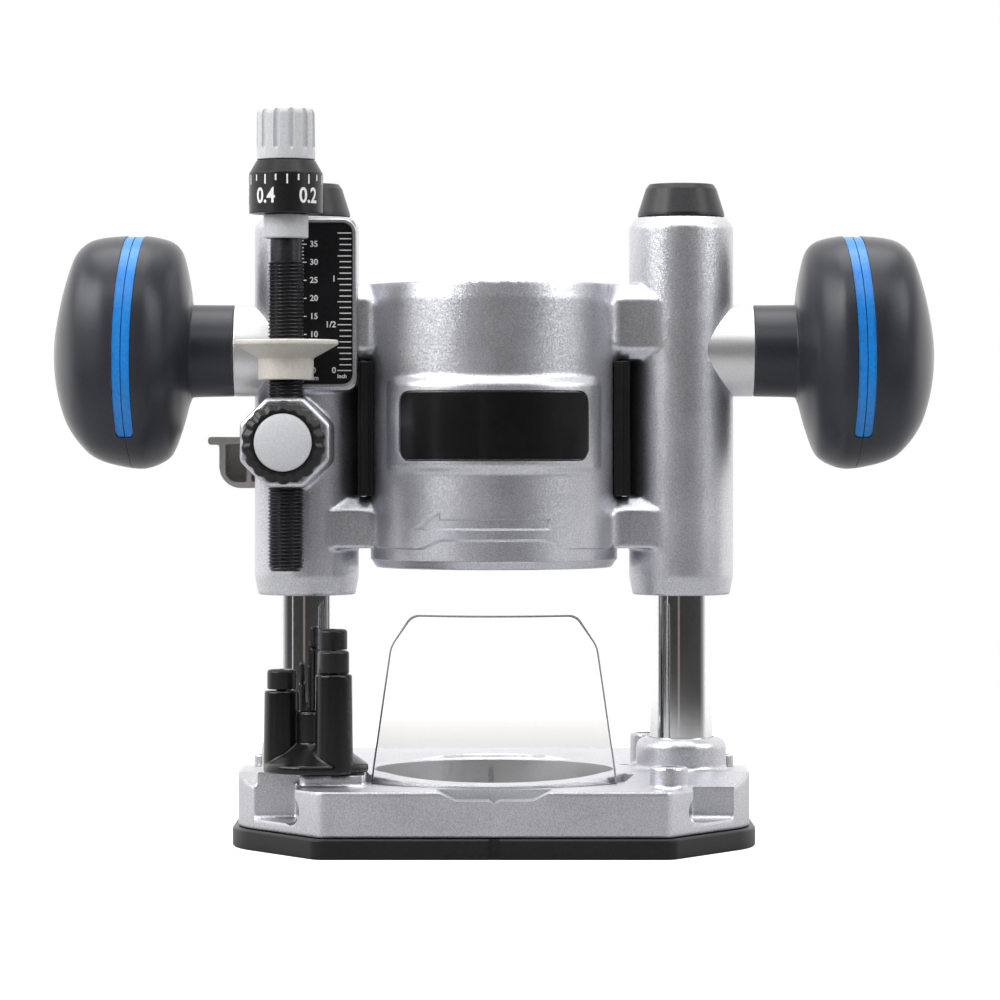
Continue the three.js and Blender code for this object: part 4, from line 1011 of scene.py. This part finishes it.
def sunk(name, outline, surface_r, depth, slant, strip=1.0):
    """A tool that sinks a front-view outline into a round surface, with slanted walls."""
    count = len(outline)
    floor, mouth = spread(outline, -slant), spread(outline, slant)
    points = [(u, surface_r - depth, v) for u, v in floor] + [(u, surface_r + depth, v) for u, v in mouth]
    faces = [tuple(range(count)), tuple(range(2 * count - 1, count - 1, -1))]
    faces += [(i, (i + 1) % count, count + (i + 1) % count, count + i) for i in range(count)]
    piece = add_mesh(name, points, faces)
    shape = bmesh.new()
    shape.from_mesh(piece.data)
    bmesh.ops.triangulate(shape, faces=shape.faces)
    left, right = min(u for u, _ in mouth), max(u for u, _ in mouth)
    for k in range(1, int((right - left) / strip)):
        everything = shape.verts[:] + shape.edges[:] + shape.faces[:]
        place = ((left + k * strip) * MM, 0, 0)
        bmesh.ops.bisect_plane(shape, geom=everything, plane_co=place, plane_no=(1, 0, 0))
    shape.to_mesh(piece.data)
    shape.free()

    def bend(u, r, v):
        turn = math.asin(u / surface_r)
        return r * math.sin(turn), -r * math.cos(turn), v
    reshape(piece, bend)
    outwards(piece)
    return piece


print("a square spread by one becomes", spread([(0, 0), (1, 0), (1, 1), (0, 1)], 1))

# %% [markdown]
# ## Sunk shapes on the ring
# Three of them sit on the front: the plate's recess, the arrow below it and the arched step above the skirt.
# The last two cutters set the skirt back and bevel the ring's lower edge, except where the webs meet it.

# %% Sunk shapes on the ring
def plate_outline(half_width, low, high, radius):
    return rounded([(-half_width, low, radius), (half_width, low, radius),
                    (half_width, high, radius), (-half_width, high, radius)])


arrow_view = [(-23.3, 88.2), (15.5, 88.2), (15.5, 91.4), (-14.7, 91.4), (-14.7, 93.4)]
arch_view = rounded([(-24.9, 81.4), (26.1, 81.4), (13.9, 85.8, 4), (-14.7, 85.8, 4)])
lip = cut(turned("lip", [(34.6, 82), (35.9, 82), (35.9, 83.8), (34.6, WEB_BOTTOM), (34.6, 82)], 320),
          block("webs", -60, 60, WEB_Y - 0.1, 0.1 - WEB_Y, 60, 90))
cut(housing, sunk("plate_recess", plate_outline(26.2, 107.1, 126.5, 2.9), BULGE_R, 0.9, 0.3),
    sunk("arrow", arrow_view, RING_R, 0.7, 0.6), sunk("arch", arch_view, RING_R, 0.6, 0.8),
    ring("skirt_cut", 34.6, 38, 70, WEB_BOTTOM, 320), lip)
print("plate recess, arrow and step sunk")

# %% [markdown]
# ## Carriage casting, machined
# The arms for the handles are turned, so they join the columns in crisp curves. Then come the cutters: the
# motor bore and its flat top, the columns' bores, the slit that lets the ring close, and the holes for rod,
# bolt and screws. The depth scale gets a thin raised frame on its pad.

# %% Carriage casting, machined
def scale_outline(grow, radius):
    x0, x1, z0, z1 = -57.5 - grow, -39.2 + grow, 128.4 - grow, 173.1 + grow
    return rounded([(x0, z0, radius), (x1, z0, radius), (x1, z1, radius), (x0, z1, radius)])


frame_bar = slab("scale_frame", scale_outline(1.1, 3.8), "y", PAD_Y - 0.75, PAD_Y + 0.6, edge=0.35)
cut(frame_bar, slab("frame_inside", scale_outline(0.12, 2.9), "y", -20, -10))
ARM_R = 12.8
arm = moved(laid_x(rod("arm", ARM_R, POST_X, 72.6, 192, edge=0.3)), 0, 0, ARM_Z)
join(housing, frame_bar, mirrored(arm, "arm_left"), arm)
arm_hole = moved(laid_x(rod("arm_hole", 4.3, POST_X, 74)), 0, 0, ARM_Z)
cut(housing, rod("motor_bore", MOTOR_R, 60, 170, 320), rod("ring_top", 36.9, RING_TOP, 170, 160),
    block("slit", -1.5, 1.5, 20, 50, 60, 170),
    *(moved(rod("column_bore", 10.8, 60, 180), x) for x in (-POST_X, POST_X)),
    mirrored(arm_hole, "arm_hole_left"), arm_hole,
    moved(laid_x(rod("bolt_hole", 3.2, -20, 20, 32)), 0, CLAMP_Y, CLAMP_Z),
    moved(rod("rod_hole", 5.3, 95, 128), *ROD),
    moved(laid_y(rod("lock_hole", 2.8, -37, ROD[1], 32)), ROD[0], 0, LOCK_Z),
    moved(laid_y(rod("lever_hole", 5, 4, 16, 48)), -POST_X, 0, LEVER_Z))
dress(housing, blasted, "motor_housing", angle=30)


def touched_by_cutter(x, y, z):
    in_ring = math.hypot(x, y) < MOTOR_R + 0.05
    on_top = z > RING_TOP - 0.03 and math.hypot(x, y) < RING_R
    in_column = math.hypot(abs(x) - POST_X, y) < 10.85
    return in_ring or on_top or in_column


def on_arm(x, y, z):
    off_column = math.hypot(abs(x) - POST_X, y) > COLUMN_R + 0.1
    return abs(x) > POST_X and off_column and abs(math.hypot(y, z - ARM_Z) - ARM_R) < 0.4


second_finish(housing, turned_alu, on_arm)
second_finish(housing, machined, touched_by_cutter)
print("carriage casting", len(housing.data.polygons), "faces")

# %% [markdown]
# ## Name plate and pocket strips
# The plate on the ring is a thin glossy black one, left bare, bent to the ring's curve. Black strips with a
# rib fill the windows between ring and columns, so that the windows show dark.

# %% Name plate and pocket strips
bare_plate = ring("bare_plate", BULGE_R - 0.6, BULGE_R - 0.1, 100, 135, 256)
keep_inside(bare_plate, slab("outline", plate_outline(25.7, 107.6, 126.0, 2.5), "y", -45, -10))
dress(bare_plate, gloss_black, "nameplate")
for side, sign, rib_x in (("left", -1, -35.9), ("right", 1, 34.5)):
    x0, x1 = sorted((sign * 31, sign * 37.7))
    strip = block(f"pocket_strip_{side}", x0, x1, WEB_Y + 1, 4, 97.3, 134.8, edge=0.2)
    join(strip, block("rib", rib_x - 1.1, rib_x + 1.1, WEB_Y, 0, 97.3, 134.8, edge=0.35))
    cut(strip, rod("ring", RING_R + 0.3, 90, 140, 160),
        moved(rod("column", COLUMN_R + 0.3, 90, 140), sign * POST_X))
    dress(strip, satin_black, f"pocket_insert_{side}")
print("plate and strips fitted")

# %% [markdown]
# ## Inside the columns
# Each column slides on two bronze bushes, and a spring in the hollow post lifts the carriage through a plug.
# The spring stands on the post's floor and shortens as the carriage comes down. It can't follow a joint, and
# here it keeps its length: it only gets a mesh of its own. A rubber cap closes each column.

# %% Inside the columns
SPRING_Z = (60.3, 164.7)
SPRING_R, WIRE_R, SPRING_TURNS = 5.4, 0.9, 14


def coil(name, radius, wire, low, high, turns, steps=24, sides=10):
    """One wire wound about Z, with its ends closed."""
    points, faces = [], []
    count = turns * steps + 1
    for i in range(count):
        angle = 2 * math.pi * i / steps
        share = i / (count - 1)
        centre_z = low + wire + (high - low - 2 * wire) * share
        for k in range(sides):
            tilt = 2 * math.pi * k / sides
            r = radius + wire * math.cos(tilt)
            points.append((r * math.cos(angle), r * math.sin(angle), centre_z + wire * math.sin(tilt)))
    for i in range(count - 1):
        for k in range(sides):
            a, b = i * sides + k, i * sides + (k + 1) % sides
            faces.append((a, b, b + sides, a + sides))
    faces += [tuple(range(sides - 1, -1, -1)), tuple(range((count - 1) * sides, count * sides))]
    piece = add_mesh(name, points, faces)
    outwards(piece)
    return piece


cap_profile = [(0, 171.3), (10.3, 171.3), (10.3, 175.4), (12.2, 175.4, 0.3), (12.1, 176.4, 0.4),
               (9.95, 183.2, 0.6), (9.0, 184.6, 0.5), (0, 184.7)]
plug_profile = [(0, 165), (10.4, 165, 0.4), (10.4, 171, 0.4), (3, 171), (3, 168), (0, 168)]
for side, x in (("left", -POST_X), ("right", POST_X)):
    for name, low, high in (("lower", 70.2, 90), ("upper", 117.5, 128)):
        bush = turned(f"bronze_bush_{side}_{name}", [(9.05, low, 0.3), (10.5, low, 0.3), (10.5, high, 0.3),
                                                     (9.05, high, 0.3), (9.05, low, 0.3)], 96)
        dress(moved(bush, x), bronze, f"bush_{side}_{name}")
    dress(moved(turned(f"plug_{side}", plug_profile, 64), x), zinc, f"spring_plug_{side}")
    dress(moved(turned(f"rubber_cap_{side}", cap_profile, 96), x), cap_rubber, f"column_cap_{side}")
    spring = moved(coil(f"lift_spring_{side}", SPRING_R, WIRE_R, *SPRING_Z, SPRING_TURNS), x)
    dress(spring, spring_wire, f"plunge_spring_{side}")
    tall = SPRING_Z[1] - SPRING_Z[0]
    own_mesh(spring)

# %% [markdown]
# ## Handles
# A handle is a broad rubber-skinned knob on a round neck. It is lofted: an oval section moves outwards along
# X, and its top, bottom and half width follow three curves. The curves pass through a few measured stations,
# and monotone interpolation joins these, because an ordinary spline would swing past the neck's corner. The
# neck is a true oval, but the knob is squarer: its front is nearly flat and turns quickly into its sides.

# %% Handle form
GRIP_STATIONS = [
    (72.9, 150.7, 125.1, 12.8), (84.2, 150.8, 124.8, 12.9), (85.2, 157, 123.2, 14), (87.4, 165.8, 115.6, 18),
    (91, 168.8, 107.8, 24), (98.7, 170.1, 104.8, 28.3), (106, 169.8, 105.9, 28), (111.5, 168.9, 107.8, 26.5),
    (116, 165.8, 111.9, 23.5), (119.6, 156.9, 117.6, 17.5), (121.8, 148, 124.4, 11), (122.9, 142.4, 130, 5.2),
    (123.3, 138.8, 134.4, 2.2),
]


def monotone(values, steps):
    """A smooth line of values through the stations that never swings past one."""
    count = len(values)
    rise = [values[i + 1] - values[i] for i in range(count - 1)]
    slope = [rise[0]]
    for i in range(1, count - 1):
        a, b = rise[i - 1], rise[i]
        slope.append(0 if a * b <= 0 else 2 * a * b / (a + b))
    slope.append(rise[-1])
    line = []
    for i in range(count - 1):
        for k in range(steps):
            t = k / steps
            line.append(values[i] * (1 + 2 * t) * (1 - t) ** 2 + slope[i] * t * (1 - t) ** 2
                        + values[i + 1] * t * t * (3 - 2 * t) + slope[i + 1] * t * t * (t - 1))
    return line + [values[-1]]


def grip_body(name, inset=0, steps=6, sides=112):
    lines = [monotone([station[k] for station in GRIP_STATIONS], steps) for k in range(4)]
    points, faces = [], []
    for x, top, bottom, half_width in zip(*lines):
        centre, tall, wide = (top + bottom) / 2, (top - bottom) / 2 - inset, half_width - inset
        power = 1 - 0.22 * min(max((x - 84) / 12, 0), 1)
        for i in range(sides):
            across, up = (wave(2 * math.pi * i / sides) for wave in (math.cos, math.sin))
            points.append((x, wide * math.copysign(abs(across) ** power, across),
                           centre + tall * math.copysign(abs(up) ** power, up)))
    rows = len(points) // sides
    for row in range(rows - 1):
        for i in range(sides):
            j = (i + 1) % sides
            faces.append((row * sides + i, row * sides + j, (row + 1) * sides + j, (row + 1) * sides + i))
    faces += [tuple(range(sides)), tuple(range((rows - 1) * sides, rows * sides))]
    piece = add_mesh(name, points, faces)
    outwards(piece)
    return piece


print("handle lofted through", len(GRIP_STATIONS), "stations")

# %% [markdown]
# ## Handle halves and blue band
# The handle is moulded in two halves that meet in a bowed surface. A channel runs along the joint, over the
# top and down both faces, and a bright blue band lies in it, a little below the rubber, with a fine seam
# along its middle. Everything is cut from the one form by leaves that follow the joint. The left handle is
# the right one's mirror image.

# %% Handle halves and blue band
BAND_HALF, BAND_FOOT, BAND_SINK = 2.6, 113.5, 0.3


def parting_x(z):
    return 102.6 - (z - 134) ** 2 / 480


def leaf(name, start, end, low=98, high=176, steps=48):
    heights = [low + (high - low) * i / steps for i in range(steps + 1)]
    near = [(parting_x(z) + start, z) for z in heights]
    far = [(parting_x(z) + end, z) for z in reversed(heights)]
    return slab(name, near + far, "y", -36, 36)


def channel(half, foot, depth):
    """The band's channel: a leaf with a rounded foot, less the core of the handle."""
    path = leaf("channel", -half, half, foot + half * 0.6)
    low_x, high_x, radius = parting_x(foot), parting_x(foot + 3), half * 0.8
    outline = rounded([(low_x - half, foot, radius), (low_x + half, foot, radius),
                       (high_x + half, foot + 3), (high_x - half, foot + 3)])
    feet = slab("feet", outline, "y", -36, 36)
    return cut(join(path, feet), grip_body("core", depth))


bolt_hole = [(0, 70), (4.3, 70), (4.3, 92), (7.3, 92), (7.3, 110), (0, 110)]
inner = keep_inside(grip_body("grip_inner_right"), leaf("inner_side", -70, -0.1))
cut(inner, channel(BAND_HALF, BAND_FOOT, 1.8), moved(laid_x(turned("bolt_hole", bolt_hole, 48)), 0, 0, ARM_Z))
outer = keep_inside(grip_body("grip_outer_right"), leaf("outer_side", 0.1, 60))
cut(outer, channel(BAND_HALF, BAND_FOOT, 1.8))
band = keep_inside(grip_body("blue_band_right", BAND_SINK), channel(BAND_HALF - 0.15, BAND_FOOT + 0.15, 1.6))
cut(band, cut(leaf("seam", -0.13, 0.13), grip_body("seam_floor", 1.0)))
for right, solid, material in ((inner, "inner_shell", grip_rubber), (outer, "outer_shell", grip_rubber),
                               (band, "inlay", inlay_blue)):
    left = mirrored(right, right.name.replace("right", "left"))
    dress(left, material, f"handle_left_{solid}", angle=38)
    dress(right, material, f"handle_right_{solid}", angle=38)
print("handles:", len(inner.data.polygons) + len(outer.data.polygons), "faces each")

# %% [markdown]
# ## Motor clamp
# Behind the ring a bolt crosses the slit. Its eye holds a cam lever on a pin: swung in, the lever pulls the
# bolt and closes the ring on the motor. The lever is a satin moulding whose bent arm follows the ring.

# %% Motor clamp
PIN_X = 20.5


def clamp_place(piece, x=0):
    return moved(piece, x, CLAMP_Y, CLAMP_Z)


bolt = laid_x(rod("clamp_bolt", 2.9, -18, 18, 48, edge=0.5))
join(bolt, block("eye", 16.8, 24.6, -4, 4, -2.6, 2.6, edge=0.8))
cut(bolt, moved(rod("pin_hole", 2.3, -4, 4, 32), PIN_X))
dress(clamp_place(bolt), zinc, "motor_clamp_bolt")

nut = slab("clamp_nut", hexagon(5.8), "x", -17.2, -13.2, edge=0.4)
dress(clamp_place(cut(nut, laid_x(rod("nut_hole", 3.2, -20, -10, 32)))), zinc, "motor_clamp_nut")

lever_plan = rounded([(-7, -4, 4), (-3, 7, 6), (4, 6.6, 5), (15.8, -1.1, 3), (29.6, -16.6, 2.6),
                      (25.0, -20.2, 2.6), (13.8, -7.6, 3), (2, -7.2, 3)], 8)
lever = slab("clamp_lever_arm", lever_plan, "z", -7.5, 7.5, edge=1.2)
join(lever, rod("hub", 7.1, -7.5, 7.5, edge=0.8))
cut(lever, rod("slot", 8.4, -3.1, 3.1), rod("pin_hole", 2.3, -9, 9, 32))
dress(clamp_place(lever, PIN_X), satin_black, "clamp_lever")
dress(clamp_place(rod("clamp_pin", 2, -7.9, 7.9, 48, edge=0.4), PIN_X), zinc, "clamp_lever_pin")
print("clamp lever", len(lever.data.polygons), "faces")

# %% [markdown]
# ## Plunge lock
# The grey lever behind the left column presses a brake shoe against the post. It is a hollow moulding, open
# to the front, with a flat bar for the thumb along its top, and only its hooked end shows past the column.

# %% Plunge lock
hook = rounded([(-81.3, 111.5, 0.8), (-78.1, 111.5, 0.4), (-78.1, 99.2, 7), (-POST_X, 99.2), (-POST_X, 113.8),
                (-81.3, 113.8, 0.8)], 8)
lock = slab("lock_lever_body", hook, "y", 15.5, 26)
join(lock, moved(laid_y(rod("hub", 9.5, 15.5, 26)), -POST_X, 0, LEVER_Z))
for x0, x1, radius in ((-76.3, -70.3, 5.2), (-68.9, -63.4, 0.6)):
    hollow = rounded([(x0, 101, radius), (x1, 101, 0.6), (x1, 111.8, 0.6), (x0, 111.8, 0.6)], 8)
    cut(lock, slab("hollow", hollow, "y", 10, 24.2))
cast_skin(lock, 0.3, 2)
cut(lock, moved(laid_y(rod("screw_hole", 4.7, 10, 30)), -POST_X, 0, LEVER_Z))
dress(lock, lever_grey, "lock_lever")
lock_screw = moved(laid_y(rod("lock_screw", 4.4, 11.4, 27, 48)), -POST_X, 0, LEVER_Z)
join(lock_screw, slab("head", hexagon(6.6, -POST_X, LEVER_Z), "y", 26.1, 29.4, edge=0.5))
dress(lock_screw, zinc, "lock_lever_screw")
print("lock lever", len(lock.data.polygons), "faces")

# %% [markdown]
# ## Rod lock knob
# The knob in front of the left column clamps the depth rod. Its rim has eighteen shallow finger flutes. The
# flutes come from the lathe form too: each point's radius is drawn in by a wave round the axis.

# %% Rod lock knob
def waved(piece, waves, depth, sharpness, low, high, turn=0.0):
    """Draws a turned piece in by a wave round Z, between two heights and only near its rim."""
    def rule(x, y, z):
        r, angle = math.hypot(x, y), math.atan2(y, x)
        inside = min(max((z - low) / 0.8, 0), 1) * min(max((high - z) / 0.8, 0), 1)
        dip = (0.5 + 0.5 * math.cos(waves * (angle - turn))) ** sharpness
        keep = 1 - depth * dip * inside / max(r, 1e-6) if r > 3.5 else 1
        return x * keep, y * keep, z
    return reshape(piece, rule)


KNOB_FRONT, KNOB_BACK = -45.6, -35.4
knob = turned("lock_knob", [(0, KNOB_FRONT), (9.2, KNOB_FRONT, 0.3), (11.4, -44.4, 1.4), (11.4, -40),
                            (11.4, KNOB_BACK, 0.8), (0, KNOB_BACK)], 216, 6)
waved(knob, 18, 0.55, 1.5, -50, -30)
cut(knob, rod("screw_hole", 2.8, -46.6, -34, 32), rod("cap_seat", 8.2, -46.6, KNOB_FRONT + 2.4, 96))
dress(moved(laid_y(knob), ROD[0], 0, LOCK_Z), satin_black, "rod_lock_knob")
disc = turned("lock_cap", [(0, -46.5), (5.6, -46.25), (7.9, -45.5, 0.5), (7.9, -43.4, 0.2), (0, -43.4)],
              96, 6)
dress(moved(laid_y(disc), ROD[0], 0, LOCK_Z), grey_plastic, "rod_lock_cap")
lock_stud = laid_y(rod("lock_stud", 2.5, -43, -33.4, 48, edge=0.3))
dress(moved(lock_stud, ROD[0], 0, LOCK_Z), zinc, "rod_lock_screw")
print("knob", len(knob.data.polygons), "faces")

# %% [markdown]
# ## Depth rod, pointer and fine adjustment
# The rod is steel, blacked, with a fine thread over its lower part: the pointer nut runs on it. The thread is
# a real helix. Each point's radius depends on its height and its angle together, so that the ridge climbs
# one pitch a turn, and the wave is close to the triangle a die cuts.

# %% Depth rod
PITCH, THREAD_R, THREAD_DEPTH = 1.0, 4.95, 0.58
THREAD_Z = (76.9, 161.6)


def threaded(name, low, high, top_profile, sides=60, steps=8):
    """A rod with a helical thread between two heights and a plain turned end above it."""
    count = round((high - low) / PITCH * steps)
    profile = [(None, low + (high - low) * i / count) for i in range(count + 1)] + top_profile
    points, faces = [], []
    for radius, z in profile:
        for i in range(sides):
            angle = 2 * math.pi * i / sides
            if radius is None:
                phase = ((z - low) / PITCH - i / sides) % 1
                ridge = min(abs(2 * phase - 1) * 1.25, 1)
                taper = min(1, (z - low) / 1.2)
                r = (THREAD_R - 0.9 * (1 - taper)) - THREAD_DEPTH * (1 - ridge) * taper
            else:
                r = radius
            points.append((r * math.cos(angle), r * math.sin(angle), z))
    rows = len(profile)
    for row in range(rows - 1):
        for i in range(sides):
            j = (i + 1) % sides
            faces.append((row * sides + i, row * sides + j, (row + 1) * sides + j, (row + 1) * sides + i))
    faces += [tuple(range(sides)), tuple(range((rows - 1) * sides, rows * sides))]
    piece = add_mesh(name, points, faces)
    outwards(piece)
    return piece


plain_end = [(4.35, 161.9), (4.35, 174.8), (3, 175.1), (3, 199.6), (2.6, 200)]
depth_rod = threaded("depth_stop_rod", *THREAD_Z, plain_end)
dress(moved(depth_rod, *ROD), black_oxide, "depth_rod", angle=25)
print("depth rod", len(depth_rod.data.polygons), "faces")

# %% [markdown]
# ## Pointer and collar
# The pointer is a nut on the thread with a thin flared brim, like a dish, whose rim is read against the
# scale. It is turned in one piece and then cut flat at the back, so that it clears the scale behind it. The
# grey collar above is the rod's bearing.

# %% Pointer and collar
BRIM_BACK = -16.4
pointer_profile = [(5.05, 129.4, 0.3), (7.6, 129.4, 0.4), (7.6, 135.3, 0.6), (14.3, 139.1, 0.5),
                   (14.4, 140.4, 0.5), (5.05, 140.4, 0.3), (5.05, 129.4, 0.3)]
pointer = turned("depth_stop_pointer", pointer_profile, 160)
moved(pointer, *ROD)
cut(pointer, block("behind", -80, -30, BRIM_BACK, 0, 120, 150))
dress(pointer, cream_plastic, "depth_pointer")
collar = turned("rod_collar", [(4.65, 168.2, 0.2), (6.15, 168.2, 0.6), (6.15, 174.8, 0.3), (4.65, 174.8, 0.2),
                               (4.65, 168.2, 0.2)], 96)
dress(moved(collar, *ROD), grey_plastic, "index_collar")
print("pointer and collar on the rod")

# %% [markdown]
# ## Dial and fine adjuster
# Turning the knob climbs the rod one millimetre a turn, and the black dial under it divides that turn into
# twentieths. The knob's twelve grooves run from its top down to a plain band, so they are cut with round
# bars whose lower ends are pointed, which leaves the small ramp at the foot of each groove.

# %% Dial and fine adjuster
DIAL_R = 10.1
dial = turned("micro_dial", [(3.3, 175, 0.2), (DIAL_R, 175, 0.25), (DIAL_R, 186, 0.4), (8.05, 189.6, 0.3),
                             (3.3, 189.6, 0.2), (3.3, 175, 0.2)], 160)
dress(moved(dial, *ROD), satin_black, "dial_ring")
GROOVES, GROOVE_R, FIRST_GROOVE = 12, 1.0, 13.5
adjuster = turned("fine_adjuster", [(0, 189.8), (8.05, 189.8, 0.25), (7.95, 204.4, 2.4), (0, 204.5)], 144, 8)
for i in range(GROOVES):
    angle = math.radians(-90 + FIRST_GROOVE + 360 * i / GROOVES)
    groove = turned("groove", [(0, 192.1), (GROOVE_R, 193.1), (GROOVE_R, 210), (0, 210)], 20)
    cut(adjuster, moved(groove, 8.3 * math.cos(angle), 8.3 * math.sin(angle)))
cut(adjuster, rod("stem_hole", 3.1, 189, 200.2, 48))
soften_edges(adjuster, 0.12, 2, 40)
dress(moved(adjuster, *ROD), grey_plastic, "fine_adjust_knob")
print("dial and adjuster,", len(adjuster.data.polygons), "faces")

# %% [markdown]
# ## Depth scale
# The scale is a printed sheet in its frame: millimetres beside the rod, sixteenths of an inch at the right
# edge, both counted up from the same zero. Each mark is a thin solid that stands a hair proud of the sheet.
# The figures are ordinary text, made a little bolder and turned into mesh.

# %% Depth scale
SHEET_Y, INK = -15.62, 0.05
ZERO_Z = 132.15
INCH = 25.4


def lettering(text, height, align="CENTER", bold=0.045):
    """Text as a thin mesh piece in millimetres, flat in X and Y, its middle line at zero."""
    curve = bpy.data.curves.new(text, "FONT")
    curve.body = text
    curve.size = height / 0.70 * MM
    curve.align_x, curve.align_y = align, "CENTER"
    curve.extrude = INK / 2 * MM
    curve.offset = bold * MM
    curve.resolution_u = 5
    outline = bpy.data.objects.new(text, curve)
    scene.collection.objects.link(outline)
    graph = bpy.context.evaluated_depsgraph_get()
    mesh = bpy.data.meshes.new_from_object(outline.evaluated_get(graph), depsgraph=graph)
    bpy.data.objects.remove(outline)
    piece = bpy.data.objects.new(text, mesh)
    scene.collection.objects.link(piece)
    return piece


def printed(text, height, x, z, align="CENTER"):
    """Text stood upright on the scale sheet, read from the front."""
    return reshape(lettering(text, height, align), lambda u, v, t: (x + u, SHEET_Y - t, z + v))


def mark(x0, x1, z, width=0.28):
    return block("mark", x0, x1, SHEET_Y - INK / 2, SHEET_Y + INK / 2, z - width / 2, z + width / 2)


sheet = slab("scale_sheet", scale_outline(0, 2.8), "y", SHEET_Y, -15.3)
dress(sheet, printed_black, "depth_scale")
marks = []
for step in range(0, 37):
    marks.append(mark(-54.6, -51.9 if step % 5 == 0 else -52.7, ZERO_Z + step))
for step in range(0, 25):
    marks.append(mark(-43.35 if step % 4 == 0 else -42.8, -39.5, ZERO_Z + step * INCH / 16))
marks += [printed(str(step), 1.6, -49.9, ZERO_Z + step) for step in range(0, 40, 5)]
marks += [printed(text, 1.65, -43.75, ZERO_Z + inches * INCH, "RIGHT")
          for text, inches in (("0", 0), ("1/2", 0.5), ("1", 1))]
marks += [printed("inch", 1.1, -42.1, ZERO_Z - 1.6), printed("mm", 1.3, -50.0, ZERO_Z - 2.1)]
detail(merged("scale_print", marks), print_white, "depth_scale")
print(len(marks), "marks on the scale")

# %% [markdown]
# ## Figures on the dial
# The dial's marks are wrapped round it: a mark's distance along the print becomes an angle.

# %% Figures on the dial
def wrapped(piece, angle, z):
    """Bends a flat print round the dial, its middle at an angle from the front."""
    def rule(u, v, t):
        turn = math.radians(angle) + u / DIAL_R
        r = DIAL_R + 0.06 + t
        return ROD[0] + r * math.sin(turn), ROD[1] - r * math.cos(turn), z + v
    return reshape(piece, rule)


TICKS, DIAL_TURN = 20, 4.5
dial_marks = []
for i in range(TICKS):
    angle = DIAL_TURN + 360 * i / TICKS
    tall = 2.6 if i % 2 == 0 else 1.7
    dial_marks.append(wrapped(block("tick", -0.22, 0.22, -tall, 0, -INK / 2, INK / 2), angle, 185.4))
for i in range(5):
    figure = lettering(f"{i * 0.2:.1f}" if i else "0", 4.1, bold=0.11)
    reshape(figure, lambda u, v, t: (0.84 * u, v, t))
    dial_marks.append(wrapped(figure, DIAL_TURN + 108 - 72 * i, 179.45))
detail(merged("dial_print", dial_marks), print_white, "dial_ring")
print(len(dial_marks), "marks on the dial")

# %% [markdown]
# ## Finishes for the solids that stay
# The pieces that hardly show keep the solids of the frame: they are hidden in the machine or are simple
# pins. They get the same finishes as the rest, so that nothing is left in plain colour.

# %% Finishes for the solids that stay
slot_finish = {
    "sub_base": phenolic, "base_cast": blasted, "housing_cast": blasted, "post_chrome": chrome,
    "spring_steel": spring_wire, "zinc_steel": zinc, "black_steel": black_oxide, "rod_black": black_oxide,
    "clear_plastic": clear_plastic, "turret_plastic": gloss_black, "gloss_black": gloss_black,
    "scale_black": printed_black, "insert_black": satin_black, "bronze": bronze, "cap_rubber": cap_rubber,
    "grip_rubber": grip_rubber, "inlay_blue": inlay_blue, "lever_black": satin_black,
    "knob_black": satin_black, "grey_plastic": grey_plastic, "pointer_cream": cream_plastic,
}
for node, solid in frame["nodes"].items():
    solid.data.materials.clear()
    solid.data.materials.append(slot_finish[node_slot[node]])
print(len(frame["nodes"]), "solids finished")
